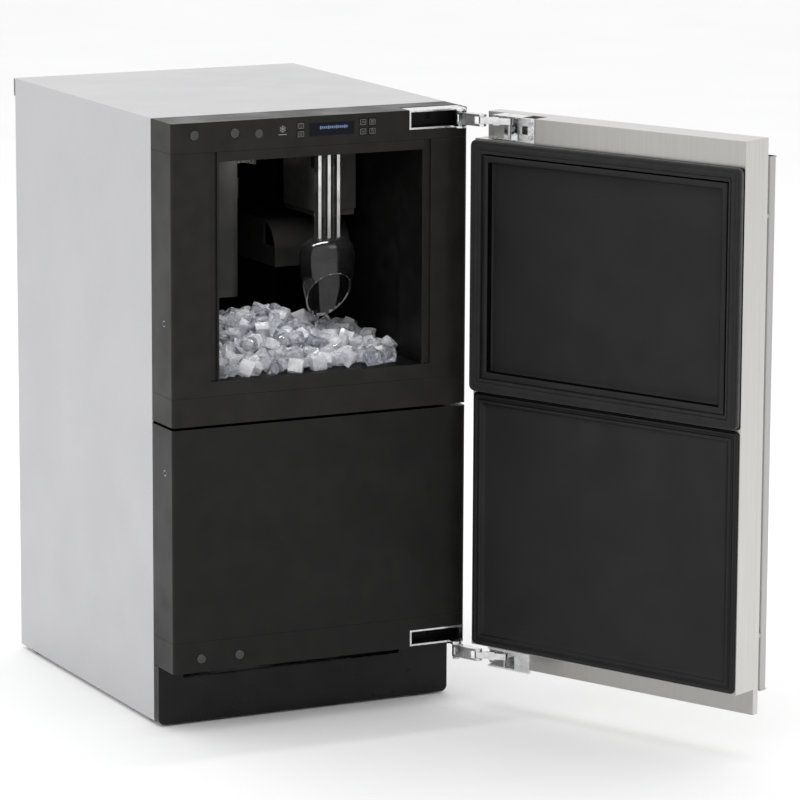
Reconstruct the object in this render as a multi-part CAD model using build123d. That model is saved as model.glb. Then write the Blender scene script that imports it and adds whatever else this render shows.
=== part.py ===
from build123d import *
import os
from math import acos, atan2, cos, degrees, hypot, radians, sin

# Built-in undercounter ice maker. Millimetres. +X to the right facing the front, +Y to the back, +Z up.
# The origin is on the floor, at the centre of the four levelling legs.

# Cabinet
WIDTH = 456.0
HEIGHT = 864.0
HALF = WIDTH / 2
FASCIA_FRONT = -314.0
CASE_FRONT = -243.0
CASE_REAR = 259.0
CASE_BOTTOM = 6.0
SHEET = 2.0
SEAM = 0.4
WALL = 3.0
FACE = 4.0
AHEAD = -400.0
EDGE_ROUND = 5.0

# Front face bands, by height
TOP_SEAM = 822.0
RAIL_TOP = 480.0
RAIL_BOTTOM = 440.0
PANEL_TOP = 436.0
BOTTOM_SEAM = 132.0
FASCIA_BOTTOM = 88.5
KICK_ROUND = 9.0
KICK_SLOT = 68.0
MOUTH_X = 157.0
MOUTH_BOTTOM = 501.0
MOUTH_TOP = 808.0
CHANNEL_X = (159.5, 170.5)
CHANNEL_DEPTH = 4.0

# Ice bin
BIN_X = 165.0
BIN_REAR = 180.0
BIN_BOTTOM = 476.0
BIN_TOP = 838.0
HEAP_TOP = 572.0

# Control strip
KEY_W = 11.0
KEY_H = 9.6
KEY_GAP = 0.3
KEY_PROUD = 0.9
KEY_PLACES = {
    "key_power": (-32.5, 851.4),
    "key_light": (-32.5, 839.8),
    "key_up": (63.4, 851.4),
    "key_down": (63.4, 838.4),
    "key_menu": (77.9, 851.4),
    "key_clean": (77.9, 838.4),
}
DISPLAY = (-18.9, 49.7, 836.0, 854.0)
SENSOR = (-96.0, 844.0)
PLUGS = ((-193.6, 846.5), (-132.7, 846.5), (-186.0, 108.0), (-127.4, 108.0))
PLUG_HEAD = 7.0
PLUG_SHANK = 5.0
SIDE_SCREWS = (583.0, 372.0)
SIDE_SCREW_Y = -286.0

# Levelling legs
LEG_X = 205.0
LEG_Y = 215.0
PAD_RADIUS = 16.0
PAD_HEIGHT = 5.0
STUD_RADIUS = 5.0
STUD_FIT = 0.06
PAN_BOTTOM = 12.0
PAN_TOP = 46.0

# Door, in its own axes: across from the hinge edge, deep from the rear face, and up
DOOR_WIDTH = 461.0
BOX_DEEP = 42.0
PANEL_DEEP = 12.0
DOOR_TOP = 860.0
PANEL_LOW = 58.0
LINER_TOP = 824.0
LINER_SPLIT = 465.5
LINER_LOW = 95.5
LINER_EDGE = 0.4
DOOR_SKIN = 1.2
GASKET_PROUD = 13.0
GASKET_WIDE = 20.0
DYKE_PROUD = 11.5

# Hinges
UPPER_HINGE = 850.5
LOWER_HINGE = 79.4
BOX_LOW = 94.0
UPPER_FRAME = (136.0, 226.0, 836.5, 863.5)
LOWER_FRAME = (140.6, 226.0, 91.0, 114.0)
FRAME_REAR = -282.0
FRAME_WALL = 2.5
FRAME_GAP = 0.6
PIVOT_A = (212.0, -321.0)
ARM_LENGTH = 40.0
BAR_LENGTH = 40.0
CUP_PIVOT = (48.0, 16.0)
CLOSED_CORNER = (230.0, -328.0)
OPEN_CORNER = (222.7, -348.2)
OPEN_ANGLE = 114.4
PIN_A = 3.0
PIN_B = 2.5
RUNNING = 0.05
NOTCH = (105.0, 30.0, 35.5)

CUP_START = 30.0
CUP_END = 104.0
CUP_MIDDLE = 80.0
UPPER_CUP = (DOOR_TOP - 35.0, DOOR_TOP - 0.2)
LOWER_CUP = (LOWER_HINGE - 13.5, BOX_LOW - 0.2)
CUP_SCREWS = ((98.0, DOOR_TOP - 8.0), (98.0, DOOR_TOP - 27.0))

# Handle
HANDLE = (429.0, 442.0, 87.0, 101.0)
HANDLE_Z = (80.0, 829.0)
STANDOFF_Z = (159.0, 747.0)

# Ice scoop, standing with its handle up
SCOOP_X = 72.0
SCOOP_Y = -181.0
SCOOP_TOP = 803.0
SCOOP_SHOULDER = 662.0
BOWL_TOP = 640.0
BOWL_RIM = 612.0
BOWL_WAIST = 575.0
SCOOP_TIP = 537.0
BOWL_HALF = (40.0, 28.0)
SCOOP_WALL = 2.4
HANDLE_HALF = (17.0, 7.0)
RIB_WIDTH = 4.6

# Machine compartment
PARTITION_Z = 446.0
COMPRESSOR = (-95.0, 130.0)
COMPRESSOR_RADIUS = 74.0
VALVE_X = 150.0
VALVE_Z = 140.0
VALVE_RADIUS = 13.0
BARB_X = 60.0
BARB_Z = 90.0
BARB_RADIUS = 8.0
GLAND_X = -150.0
GLAND_Z = 130.0
TUBE_RADIUS = 3.0
TUBE_BEND = 9.0
LOUVRE_LOW = 230.0
LOUVRE_PITCH = 18.0
LOUVRE_HALF = 34.0
CORE_X = (-180.0, 95.0)
CORE_Z = (74.0, 300.0)

# Fan
FAN_CENTRE = (-45.0, 185.0)
FAN_RADIUS = 82.0
FAN_Y = -160.0
SHAFT_RADIUS = 4.0


def block(x0, x1, y0, y1, z0, z1):
    return Pos((x0 + x1) / 2, (y0 + y1) / 2, (z0 + z1) / 2) * Box(x1 - x0, y1 - y0, z1 - z0)


def rod_z(x, y, z0, z1, radius):
    return Pos(x, y, (z0 + z1) / 2) * Cylinder(radius, z1 - z0)


def rod_y(x, z, y0, y1, radius):
    return Pos(x, (y0 + y1) / 2, z) * Rot(90, 0, 0) * Cylinder(radius, y1 - y0)


def rod_x(y, z, x0, x1, radius):
    return Pos((x0 + x1) / 2, y, z) * Rot(0, 90, 0) * Cylinder(radius, x1 - x0)


def rounded_front(x0, x1, y0, y1, z0, z1, radius):
    """A block with its two upright front edges rounded."""
    body = block(x0, x1, y0, y1, z0, z1)
    edges = [e for e in body.edges().filter_by(Axis.Z) if e.center().Y < y0 + 1]
    return fillet(edges, radius)


def joined(pieces):
    """Fuse the pieces into one solid."""
    result = pieces[0]
    for piece in pieces[1:]:
        result = result + piece
    return result


def link(start, end, z0, z1, width):
    """A flat bar with round ends between two upright pivots."""
    length = hypot(end[0] - start[0], end[1] - start[1])
    turn = degrees(atan2(end[1] - start[1], end[0] - start[0]))
    middle = ((start[0] + end[0]) / 2, (start[1] + end[1]) / 2)
    bar = Pos(middle[0], middle[1], (z0 + z1) / 2) * Rot(0, 0, turn) * Box(length, width, z1 - z0)
    return bar + rod_z(*start, z0, z1, width / 2) + rod_z(*end, z0, z1, width / 2)


def open_corner_frame():
    return Pos(OPEN_CORNER[0], OPEN_CORNER[1], 0) * Rot(0, 0, OPEN_ANGLE)


def door_block(s0, s1, d0, d1, z0, z1):
    return block(-s1, -s0, -d1, -d0, z0, z1)


def on_door(shape):
    return open_corner_frame() * shape


def door_point(across, deep):
    a = radians(OPEN_ANGLE)
    x = OPEN_CORNER[0] - across * cos(a) + deep * sin(a)
    y = OPEN_CORNER[1] - across * sin(a) - deep * cos(a)
    return (x, y)


def arm_end(start, target):
    """Where the arm from start meets the bar from target, bent to the front."""
    dx = target[0] - start[0]
    dy = target[1] - start[1]
    span = hypot(dx, dy)
    bend = acos((ARM_LENGTH**2 + span**2 - BAR_LENGTH**2) / (2 * ARM_LENGTH * span))
    turn = atan2(dy, dx) - bend
    return (start[0] + ARM_LENGTH * cos(turn), start[1] + ARM_LENGTH * sin(turn))


PIVOT_C = door_point(*CUP_PIVOT)
PIVOT_B = arm_end(PIVOT_A, PIVOT_C)


# Case

def outer_case():
    """Wrap of the top and both sides, flanged at the bottom and lipped over the rear top edge."""
    wrap = block(-HALF, HALF, CASE_FRONT, CASE_REAR, CASE_BOTTOM, HEIGHT)
    inside = HALF - SHEET
    wrap -= block(-inside, inside, CASE_FRONT - 1, CASE_REAR + 1, CASE_BOTTOM - 1, HEIGHT - SHEET)
    for side in (-1, 1):
        x = sorted((side * (HALF - SHEET), side * (HALF - 14)))
        wrap += block(x[0], x[1], CASE_FRONT + 1, CASE_REAR - 3, CASE_BOTTOM, CASE_BOTTOM + SHEET)
    lip = block(-HALF, HALF, CASE_REAR, CASE_REAR + 6, HEIGHT - 26, HEIGHT)
    lip -= block(-HALF - 1, HALF + 1, CASE_REAR - 1, CASE_REAR + 4.8, HEIGHT - 27, HEIGHT - 1.2)
    return wrap + lip


def back_panel():
    x = HALF - SHEET - 0.2
    panel = block(-x, x, CASE_REAR - 2, CASE_REAR - 0.8, CASE_BOTTOM + 4, HEIGHT - SHEET - 0.2)
    for row in range(7):
        for centre in (-90, 0, 90):
            z = LOUVRE_LOW + row * LOUVRE_PITCH
            panel -= block(centre - LOUVRE_HALF, centre + LOUVRE_HALF, CASE_REAR - 4, CASE_REAR + 1, z, z + 6)
    panel -= rod_y(VALVE_X, VALVE_Z, CASE_REAR - 4, CASE_REAR + 1, 24)
    panel -= rod_y(BARB_X, BARB_Z, CASE_REAR - 4, CASE_REAR + 1, 20)
    panel -= rod_y(GLAND_X, GLAND_Z, CASE_REAR - 4, CASE_REAR + 1, 9)
    return panel


def base_pan():
    x = HALF - SHEET - 0.3
    pan = block(-x, x, CASE_FRONT + 2, CASE_REAR - 4, PAN_BOTTOM, PAN_TOP)
    pan -= block(-x + 2, x - 2, CASE_FRONT + 4, CASE_REAR - 6, PAN_BOTTOM + 2, PAN_TOP + 1)
    for sx in (-1, 1):
        for sy in (-1, 1):
            pan += rod_z(sx * LEG_X, sy * LEG_Y, PAN_BOTTOM, PAN_TOP - 8, 9)
            pan -= rod_z(sx * LEG_X, sy * LEG_Y, PAN_BOTTOM - 1, PAN_TOP, STUD_RADIUS + STUD_FIT)
    return pan


def levelling_leg(sx, sy):
    x = sx * LEG_X
    y = sy * LEG_Y
    pad = rod_z(x, y, 0, PAD_HEIGHT, PAD_RADIUS)
    pad = fillet(pad.edges().filter_by(GeomType.CIRCLE).sort_by(Axis.Z)[-1], 1.5)
    nut = Pos(x, y, PAD_HEIGHT) * extrude(RegularPolygon(9, 6), 5)
    return pad + nut + rod_z(x, y, PAD_HEIGHT, PAN_TOP + 24, STUD_RADIUS)


def toe_kick():
    kick = block(-HALF, HALF, CASE_FRONT - 17, CASE_FRONT - 0.3, 3, FASCIA_BOTTOM - 0.8)
    kick = fillet(kick.edges().filter_by(Axis.Y).sort_by(Axis.Z)[:2], KICK_ROUND)
    kick -= block(-HALF + 2, HALF - 2, CASE_FRONT - 15, CASE_FRONT + 1, 2, FASCIA_BOTTOM)
    kick -= block(-190, 150, CASE_FRONT - 20, CASE_FRONT - 10, KICK_SLOT, FASCIA_BOTTOM)
    baffle = block(-190, 150, CASE_FRONT - 9, CASE_FRONT - 7, 3, KICK_SLOT - 1)
    ribs = []
    for x in (-189, -80, 30, 149):
        ribs.append(block(x - 1, x + 1, CASE_FRONT - 15.5, CASE_FRONT - 8, 4, KICK_SLOT - 2))
    return joined([kick, baffle] + ribs)


# Front face

def shelled(z0, z1):
    """A full-width moulding, hollow from behind."""
    body = rounded_front(-HALF, HALF, FASCIA_FRONT, CASE_FRONT - 0.3, z0, z1, EDGE_ROUND)
    x = HALF - WALL
    return body - block(-x, x, FASCIA_FRONT + FACE, CASE_FRONT + 1, z0 + WALL, z1 - WALL)


def front_frame():
    z0 = RAIL_TOP + SEAM
    z1 = TOP_SEAM - SEAM
    frame = rounded_front(-HALF, HALF, FASCIA_FRONT, CASE_FRONT - 0.3, z0, z1, EDGE_ROUND)
    inside = HALF - WALL
    pocket_front = FASCIA_FRONT + CHANNEL_DEPTH + FACE
    pocket = block(-inside, inside, pocket_front, CASE_FRONT + 1, z0 + WALL, z1 - WALL)
    sleeve = MOUTH_X + WALL
    pocket -= block(-sleeve, sleeve, AHEAD, -200, MOUTH_BOTTOM - WALL, MOUTH_TOP + WALL)
    frame -= pocket
    frame -= block(-MOUTH_X, MOUTH_X, AHEAD, -200, MOUTH_BOTTOM, MOUTH_TOP)
    for side in (-1, 1):
        x = sorted((side * CHANNEL_X[0], side * CHANNEL_X[1]))
        frame -= block(x[0], x[1], AHEAD, FASCIA_FRONT + CHANNEL_DEPTH, MOUTH_BOTTOM, 900)
        frame -= side_screw(side, SIDE_SCREWS[0])
    return frame


def control_strip():
    strip = shelled(TOP_SEAM, HEIGHT)
    strip += block(80, 137, FASCIA_FRONT + 1, CASE_FRONT - 0.3, TOP_SEAM + 1, TOP_SEAM + 5)
    strip -= hinge_recess(UPPER_FRAME)
    for x, z in KEY_PLACES.values():
        w = KEY_W / 2 + KEY_GAP
        h = KEY_H / 2 + KEY_GAP
        strip -= block(x - w, x + w, AHEAD, FASCIA_FRONT + FACE + 1, z - h, z + h)
    x0, x1, z0, z1 = DISPLAY
    strip -= block(x0, x1, AHEAD, FASCIA_FRONT + FACE + 1, z0, z1)
    strip -= rod_y(SENSOR[0], SENSOR[1], AHEAD, FASCIA_FRONT + FACE + 1, 6)
    return strip - plug_holes(PLUGS[:2])


def hinge_recess(frame):
    x0, x1, z0, z1 = frame
    return block(x0 - 0.3, x1 + 0.3, AHEAD, FRAME_REAR + 0.2, z0 - 0.2, z1 + FRAME_GAP)


def plug_holes(places):
    return joined([rod_y(x, z, AHEAD, FASCIA_FRONT + FACE + 2, PLUG_SHANK) for x, z in places])


def mullion_rail():
    return shelled(RAIL_BOTTOM, RAIL_TOP)


def lower_access_panel():
    panel = shelled(BOTTOM_SEAM + SEAM, PANEL_TOP)
    for side in (-1, 1):
        panel -= side_screw(side, SIDE_SCREWS[1])
    return panel


def lower_strip():
    strip = shelled(FASCIA_BOTTOM, BOTTOM_SEAM)
    strip -= hinge_recess(LOWER_FRAME)
    return strip - plug_holes(PLUGS[2:])


def side_screw(side, z):
    """A countersunk screw through the side of a front moulding."""
    head = Pos(side * (HALF - 0.6), SIDE_SCREW_Y, z) * Rot(0, 90, 0) * Cylinder(4.2, 1.2)
    shank = Pos(side * (HALF - 4), SIDE_SCREW_Y, z) * Rot(0, 90, 0) * Cylinder(2, 8)
    return head + shank


def frame_screws():
    return Compound([side_screw(side, z) for side in (-1, 1) for z in SIDE_SCREWS])


def hole_plugs():
    plugs = []
    for x, z in PLUGS:
        head = rod_y(x, z, FASCIA_FRONT - 2.2, FASCIA_FRONT, PLUG_HEAD)
        head = fillet(head.edges().filter_by(GeomType.CIRCLE).sort_by(Axis.Y)[0], 1.8)
        plugs.append(head + rod_y(x, z, FASCIA_FRONT, FASCIA_FRONT + FACE + 2, PLUG_SHANK))
    plugs.append(rod_y(SENSOR[0], SENSOR[1], FASCIA_FRONT - 0.6, FASCIA_FRONT + FACE, 6))
    return Compound(plugs)


def display_window():
    x0, x1, z0, z1 = DISPLAY
    return block(x0, x1, FASCIA_FRONT - 0.3, FASCIA_FRONT + 1.5, z0, z1)


def control_board():
    x0, x1, z0, z1 = DISPLAY
    board = block(-50, 96, FASCIA_FRONT + 14, FASCIA_FRONT + 15.6, 829, 858)
    board += block(x0 + 1, x1 - 1, FASCIA_FRONT + 2, FASCIA_FRONT + 14.2, z0 + 1, z1 - 1)
    for x, z in KEY_PLACES.values():
        board += block(x - 3, x + 3, FASCIA_FRONT + 11, FASCIA_FRONT + 14.2, z - 3, z + 3)
    return board


def key(x, z):
    half_w = KEY_W / 2
    half_h = KEY_H / 2
    front = FASCIA_FRONT - KEY_PROUD
    cap = block(x - half_w, x + half_w, front, FASCIA_FRONT + 3, z - half_h, z + half_h)
    cap = fillet(cap.edges().filter_by(Axis.Y), 1.2)
    stem = rod_y(x, z, FASCIA_FRONT + 3, FASCIA_FRONT + 9.8, 2)
    return cap + stem


# Bin and its contents

def bin_liner():
    x = BIN_X + WALL
    front = CASE_FRONT + 0.5
    outer = block(-x, x, front, BIN_REAR + WALL, BIN_BOTTOM - WALL, BIN_TOP + WALL)
    inner = block(-BIN_X, BIN_X, CASE_FRONT - 10, BIN_REAR, BIN_BOTTOM, BIN_TOP)
    uprights = inner.edges().filter_by(Axis.Z).sort_by(Axis.Y)[-2:]
    inner = fillet(uprights, 14)
    sill = block(-x, x, front, front + WALL, BIN_BOTTOM - 1, MOUTH_BOTTOM)
    return outer - inner + sill


def bin_foam():
    x = HALF - SHEET - 0.4
    foam = block(-x, x, CASE_FRONT + 4, CASE_REAR - 26, PARTITION_Z, HEIGHT - SHEET - 0.4)
    liner = BIN_X + WALL
    return foam - block(-liner, liner, CASE_FRONT - 5, BIN_REAR + WALL, BIN_BOTTOM - WALL, BIN_TOP + WALL)


def reservoir_cover():
    """Upright housing at the left of the bin, hollow from behind."""
    cover = block(-BIN_X + 1, -79, -215, -96, 600, BIN_TOP - 1)
    cover = fillet(cover.edges().filter_by(Axis.Z).filter_by(lambda e: e.center().X > -90), 14)
    cover -= block(-BIN_X + 4, -93, -212, -80, 606, BIN_TOP + 1)
    return cover


def ice_maker_cover():
    """Housing hung from the bin roof over the circulation pump."""
    cover = block(90, 160, -93, 20, 694, BIN_TOP - 1)
    cover = fillet(cover.edges().filter_by(Axis.Z).filter_by(lambda e: e.center().X < 100), 18)
    band = block(98, 158.5, -91, 18, 685, 694)
    return cover + band - block(101, 156, -88, 14, 689, BIN_TOP)


def ice_deflector():
    """Curved hood that turns the falling ice into the bin."""
    with BuildSketch(Plane.YZ.offset(42)) as profile:
        with BuildLine():
            Polyline((-70, 612), (-70, 640))
            RadiusArc((-70, 640), (-30, 676), 42)
            Polyline((-30, 676), (150, 676), (150, 673), (-30, 673))
            RadiusArc((-67, 640), (-30, 673), 39)
            Polyline((-67, 640), (-67, 612), (-70, 612))
        make_face()
    hood = extrude(profile.sketch, 120)
    cheek = block(42, 45, -67, 150, 612, 640) + block(42, 45, -30, 150, 612, 673)
    return hood + cheek


def evaporator_plate():
    plate = block(-60, 60, 44, 170, 806, 810)
    coil = [rod_x(y, 813, -54, 54, 3.5) for y in range(54, 170, 18)]
    bends = [block(side * 56 - 3, side * 56 + 3, y - 3, y + 21, 810, 817)
             for y, side in ((54, 1), (72, -1), (90, 1), (108, -1), (126, 1), (144, -1))]
    return Compound([joined([plate] + coil + bends), water_distributor()])


def water_distributor():
    tube = rod_x(36, 824, -58, 58, 5)
    for x in range(-50, 51, 20):
        tube -= rod_z(x, 36, 815, 824, 1.2)
    return tube + block(-66, -56, 30, 42, 818, BIN_TOP - 0.3)


def water_trough():
    tray = block(-62, 31, 34, 172, 700, 730)
    return tray - block(-60, 29, 36, 170, 702, 731)


def cutter_grid():
    frame = block(-62, 62, 42, 172, 750, 760) - block(-57, 57, 47, 167, 749, 761)
    for x in range(-38, 39, 19):
        frame += rod_y(x, 755, 46, 168, 1)
    for y in range(65, 160, 19):
        frame += rod_x(y, 757, -58, 58, 1)
    return frame + grid_hangers()


def grid_hangers():
    hangers = [block(side * 66 - 3, side * 66 + 3, y - 6, y + 6, 745, BIN_TOP - 0.3)
               for side in (-1, 1) for y in (60, 150)]
    feet = [block(min(side * 64, side * 58), max(side * 64, side * 58), y - 5, y + 5, 746, 752)
            for side in (-1, 1) for y in (60, 150)]
    return joined(hangers + feet)


def circulation_pump():
    body = rod_z(126, -30, 740, 800, 22)
    return body + rod_z(126, -30, 702, 740, 14) + rod_z(126, -30, 800, 812, 6)


def ice_heap():
    """The stored ice, as one closed heap that leaves the scoop's way out free."""
    low = Pos(0, 0, BIN_BOTTOM + 0.3) * Rectangle(2 * BIN_X - 6, 392)
    high = Pos(-45, -60, HEAP_TOP) * Rectangle(130, 150)
    heap = loft([Pos(0, -34, 0) * low.face(), Pos(0, -34, 0) * high.face()])
    on_sill = block(-MOUTH_X + 3, MOUTH_X - 3, FASCIA_FRONT + 8, -180, MOUTH_BOTTOM + 0.3, MOUTH_BOTTOM + 18)
    heap += on_sill
    return heap - block(26, 118, -330, -145, SCOOP_TIP - 4, 700)


# Scoop

def scoop_bowl(inset):
    with BuildPart() as bowl:
        sections = ((SCOOP_TIP - 1, 0.52), (BOWL_WAIST, 0.84), (BOWL_RIM, 1), (BOWL_TOP, 0.98))
        for z, share in sections:
            with BuildSketch(Plane.XY.offset(z)):
                Ellipse(BOWL_HALF[0] * share - inset, BOWL_HALF[1] * share - inset)
        loft(ruled=True)
        with BuildSketch(Plane.XY.offset(BOWL_TOP)):
            Ellipse(BOWL_HALF[0] * 0.98 - inset, BOWL_HALF[1] * 0.98 - inset)
        with BuildSketch(Plane.XY.offset(SCOOP_SHOULDER - 1.5 * inset)):
            Ellipse(HANDLE_HALF[0] + 1 - 0.4 * inset, HANDLE_HALF[1] + 1 - 0.4 * inset)
        loft()
    return Pos(SCOOP_X, SCOOP_Y, 0) * bowl.part


def scoop():
    """Clear scoop: a bowl cut on the slant, and a flat handle with three ribs."""
    bowl = scoop_bowl(0) - scoop_bowl(SCOOP_WALL)
    slope = degrees(atan2(BOWL_RIM - SCOOP_TIP, 2 * BOWL_HALF[1]))
    rim_middle = Pos(SCOOP_X, SCOOP_Y, (BOWL_RIM + SCOOP_TIP) / 2)
    cutter = rim_middle * Rot(-slope, 0, 0) * Pos(0, 0, -60) * Box(120, 260, 120)
    return bowl - cutter + scoop_handle()


def scoop_handle():
    half_x, half_y = HANDLE_HALF
    low = SCOOP_SHOULDER - 6
    rear = SCOOP_Y + half_y
    plate = block(SCOOP_X - half_x, SCOOP_X + half_x, rear - 2.5, rear, low, SCOOP_TOP)
    reach = half_x - RIB_WIDTH / 2
    ribs = [block(SCOOP_X + x - RIB_WIDTH / 2, SCOOP_X + x + RIB_WIDTH / 2,
                  SCOOP_Y - half_y, SCOOP_Y + half_y - 1, low, SCOOP_TOP) for x in (-reach, 0, reach)]
    return joined([plate] + ribs)


def scoop_holder():
    """Clip on the bin roof that the handle is pushed into from the front."""
    x = HANDLE_HALF[0] + 0.6
    y = HANDLE_HALF[1]
    back = block(SCOOP_X - x - 3, SCOOP_X + x + 3, SCOOP_Y + y + 0.6, SCOOP_Y + y + 4, 770, BIN_TOP - 0.3)
    cheeks = [block(SCOOP_X + a, SCOOP_X + a + 3, SCOOP_Y - 2, SCOOP_Y + y + 1, 770, 800)
              for a in (-x - 3, x)]
    return joined([back] + cheeks)


# Machine compartment

def compressor():
    x, y = COMPRESSOR
    shell = rod_z(x, y, 64, 210, COMPRESSOR_RADIUS)
    shell = fillet(shell.edges().filter_by(GeomType.CIRCLE), 34)
    cradle = block(x - 85, x + 85, y - 60, y + 60, PAN_BOTTOM + 2.2, 60)
    cradle -= block(x - 80, x + 80, y - 70, y + 70, 0, 56)
    return shell + cradle + rod_z(x, y, 58, 70, 30)


def condenser():
    core = block(*CORE_X, -215, -190, *CORE_Z)
    for z in range(82, 300, 9):
        core -= block(-176, 91, -216, -189, z, z + 6)
    tubes = [rod_z(x, -202.5, *CORE_Z, 4) for x in range(-160, 90, 34)]
    return joined([core] + tubes)


def fan_shroud():
    x, z = FAN_CENTRE
    plate = block(*CORE_X, -189, -187, *CORE_Z) + rod_y(x, z, -189, -140, FAN_RADIUS + 6)
    plate -= rod_y(x, z, -195, -130, FAN_RADIUS + 3)
    for turn in (45, 135):
        spoke = Pos(x, -138, z) * Rot(0, turn, 0) * Box(2 * FAN_RADIUS + 10, 4, 8)
        plate += spoke
    return plate + rod_y(x, z, -140, -136, 22) - rod_y(x, z, -145, -130, SHAFT_RADIUS + 1)


def fan_motor():
    x, z = FAN_CENTRE
    return rod_y(x, z, -136, -100, 30) - rod_y(x, z, -137, -118, SHAFT_RADIUS + RUNNING)


def fan_blade():
    x, z = FAN_CENTRE
    hub = rod_y(x, z, FAN_Y - 12, FAN_Y + 12, 18)
    blades = []
    for index in range(5):
        blade = Pos(47, 0, 0) * Rot(32, 0, 0) * Box(64, 34, 2)
        blades.append(Pos(x, FAN_Y, z) * Rot(0, index * 72, 0) * blade)
    return joined([hub] + blades + [rod_y(x, z, FAN_Y + 10, -119, SHAFT_RADIUS)])


def refrigerant_tubes():
    x, y = COMPRESSOR
    path = FilletPolyline((x, y, 210.2), (x, y, 330), (20, y, 330), (20, 60, 330), (20, 60, 295),
                          radius=TUBE_BEND)
    drier = rod_z(20, 60, 200, 300, 12)
    hot = sweep_tube(path)
    low = FilletPolyline((20, 60, 205), (20, 60, 120), (130, 60, 120), (130, -202.5, 120),
                         (130, -202.5, 250), (95.5, -202.5, 250), radius=TUBE_BEND)
    return joined([drier, hot, sweep_tube(low)])


def sweep_tube(path):
    start = path @ 0
    with BuildPart() as tube:
        with BuildSketch(Plane(origin=start, z_dir=path % 0)):
            Circle(TUBE_RADIUS)
        sweep(path=path)
    return tube.part


def electrical_box():
    return fillet(block(-205, -60, 60, 205, 345, 432).edges().filter_by(Axis.Z), 5)


def drain_pump():
    body = block(110, 185, 80, 165, PAN_BOTTOM + 2.2, 80) + rod_z(147, 122, 80, 120, 26)
    outlet = rod_y(BARB_X, BARB_Z, 200, CASE_REAR + 5, BARB_RADIUS) + rod_y(BARB_X, BARB_Z, 200, 212, 13)
    elbow = block(BARB_X - 10, 130, 196, 212, BARB_Z - 10, BARB_Z + 6) + block(118, 134, 150, 212, 70, 80)
    return body + outlet + elbow + block(118, 134, 196, 212, 70, 96)


def water_valve():
    body = block(VALVE_X - 18, VALVE_X + 18, 200, 240, VALVE_Z - 20, VALVE_Z + 26)
    return body + rod_y(VALVE_X, VALVE_Z, 240, CASE_REAR + 5, VALVE_RADIUS)


def power_inlet():
    gland = rod_y(GLAND_X, GLAND_Z, CASE_REAR - 12, CASE_REAR + 5, 8.8)
    nut = Pos(GLAND_X, CASE_REAR - 0.8, GLAND_Z) * Rot(-90, 0, 0) * extrude(RegularPolygon(12, 6), 4)
    return gland + nut - rod_y(GLAND_X, GLAND_Z, CASE_REAR - 13, CASE_REAR + 6, 4.5)


# Hinges

def hinge_housing(frame):
    """Open box let into the front face, which the folded links park in."""
    x0, x1, z0, z1 = frame
    low = z0 + FRAME_WALL
    high = z1 - FRAME_WALL
    housing = block(x0, x1, FASCIA_FRONT - 0.8, FRAME_REAR, z0, z1)
    housing -= block(x0 + FRAME_WALL, x1 - FRAME_WALL, AHEAD, FRAME_REAR - FRAME_WALL, low, high)
    return housing - block(x1 - FRAME_WALL - 1, x1 + 1, AHEAD, FASCIA_FRONT + 8, low, high)


def ear(low, high):
    """Flat ear that carries the first pivot in front of the housing."""
    plate = block(PIVOT_A[0] - 8.5, PIVOT_A[0] + 8.5, PIVOT_A[1], FASCIA_FRONT - 0.8 + 0.6, low, high)
    return plate + rod_z(*PIVOT_A, low, high, 8.5) - rod_z(*PIVOT_A, low - 1, high + 1, PIN_A)


def hinge_frame_upper():
    z0, z1 = UPPER_FRAME[2:]
    return hinge_housing(UPPER_FRAME) + ear(z0, z0 + FRAME_WALL) + ear(z1 - FRAME_WALL, z1)


def hinge_frame_lower():
    z0 = LOWER_FRAME[2]
    low_ear = ear(z0 - 1.8, z0 + FRAME_WALL)
    low_ear -= block(190, 230, FASCIA_FRONT - 0.1, FASCIA_FRONT + 10, z0 - 3, z0)
    return hinge_housing(LOWER_FRAME) + low_ear


def frame_pins():
    upper = rod_z(*PIVOT_A, UPPER_FRAME[2], UPPER_FRAME[3], PIN_A)
    lower = rod_z(*PIVOT_A, LOWER_HINGE - 12, LOWER_FRAME[2] + FRAME_WALL, PIN_A)
    return upper, lower + rod_z(*PIVOT_A, LOWER_HINGE - 12, LOWER_HINGE - 9.5, 5)


def hinge_arm(centre):
    z0 = centre - 8.5
    z1 = centre + 8.5
    arm = link(PIVOT_A, PIVOT_B, z0, z0 + 3.5, 12) + link(PIVOT_A, PIVOT_B, z1 - 3.5, z1, 12)
    turn = degrees(atan2(PIVOT_B[1] - PIVOT_A[1], PIVOT_B[0] - PIVOT_A[0]))
    web = Pos(PIVOT_A[0], PIVOT_A[1], centre) * Rot(0, 0, turn) * Pos(17, -5.2, 0) * Box(28, 1.6, z1 - z0)
    arm += web + rod_z(*PIVOT_A, z0, z1, 6)
    arm -= rod_z(*PIVOT_A, z0 - 1, z1 + 1, PIN_A + RUNNING)
    return arm - rod_z(*PIVOT_B, z0 - 1, z1 + 1, PIN_B)


def arm_pin(centre):
    return rod_z(*PIVOT_B, centre - 8.5, centre + 8.5, PIN_B)


def hinge_bar(centre):
    bar = link(PIVOT_B, PIVOT_C, centre - 4.5, centre + 4.5, 10)
    turn = degrees(atan2(PIVOT_C[1] - PIVOT_B[1], PIVOT_C[0] - PIVOT_B[0]))
    middle = Pos((PIVOT_B[0] + PIVOT_C[0]) / 2, (PIVOT_B[1] + PIVOT_C[1]) / 2, centre)
    bar += middle * Rot(0, 0, turn) * Pos(1.5, 0, 0) * Box(9, 10, 12)
    for pivot in (PIVOT_B, PIVOT_C):
        bar -= rod_z(*pivot, centre - 10, centre + 10, PIN_B + RUNNING)
    return bar


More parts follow.
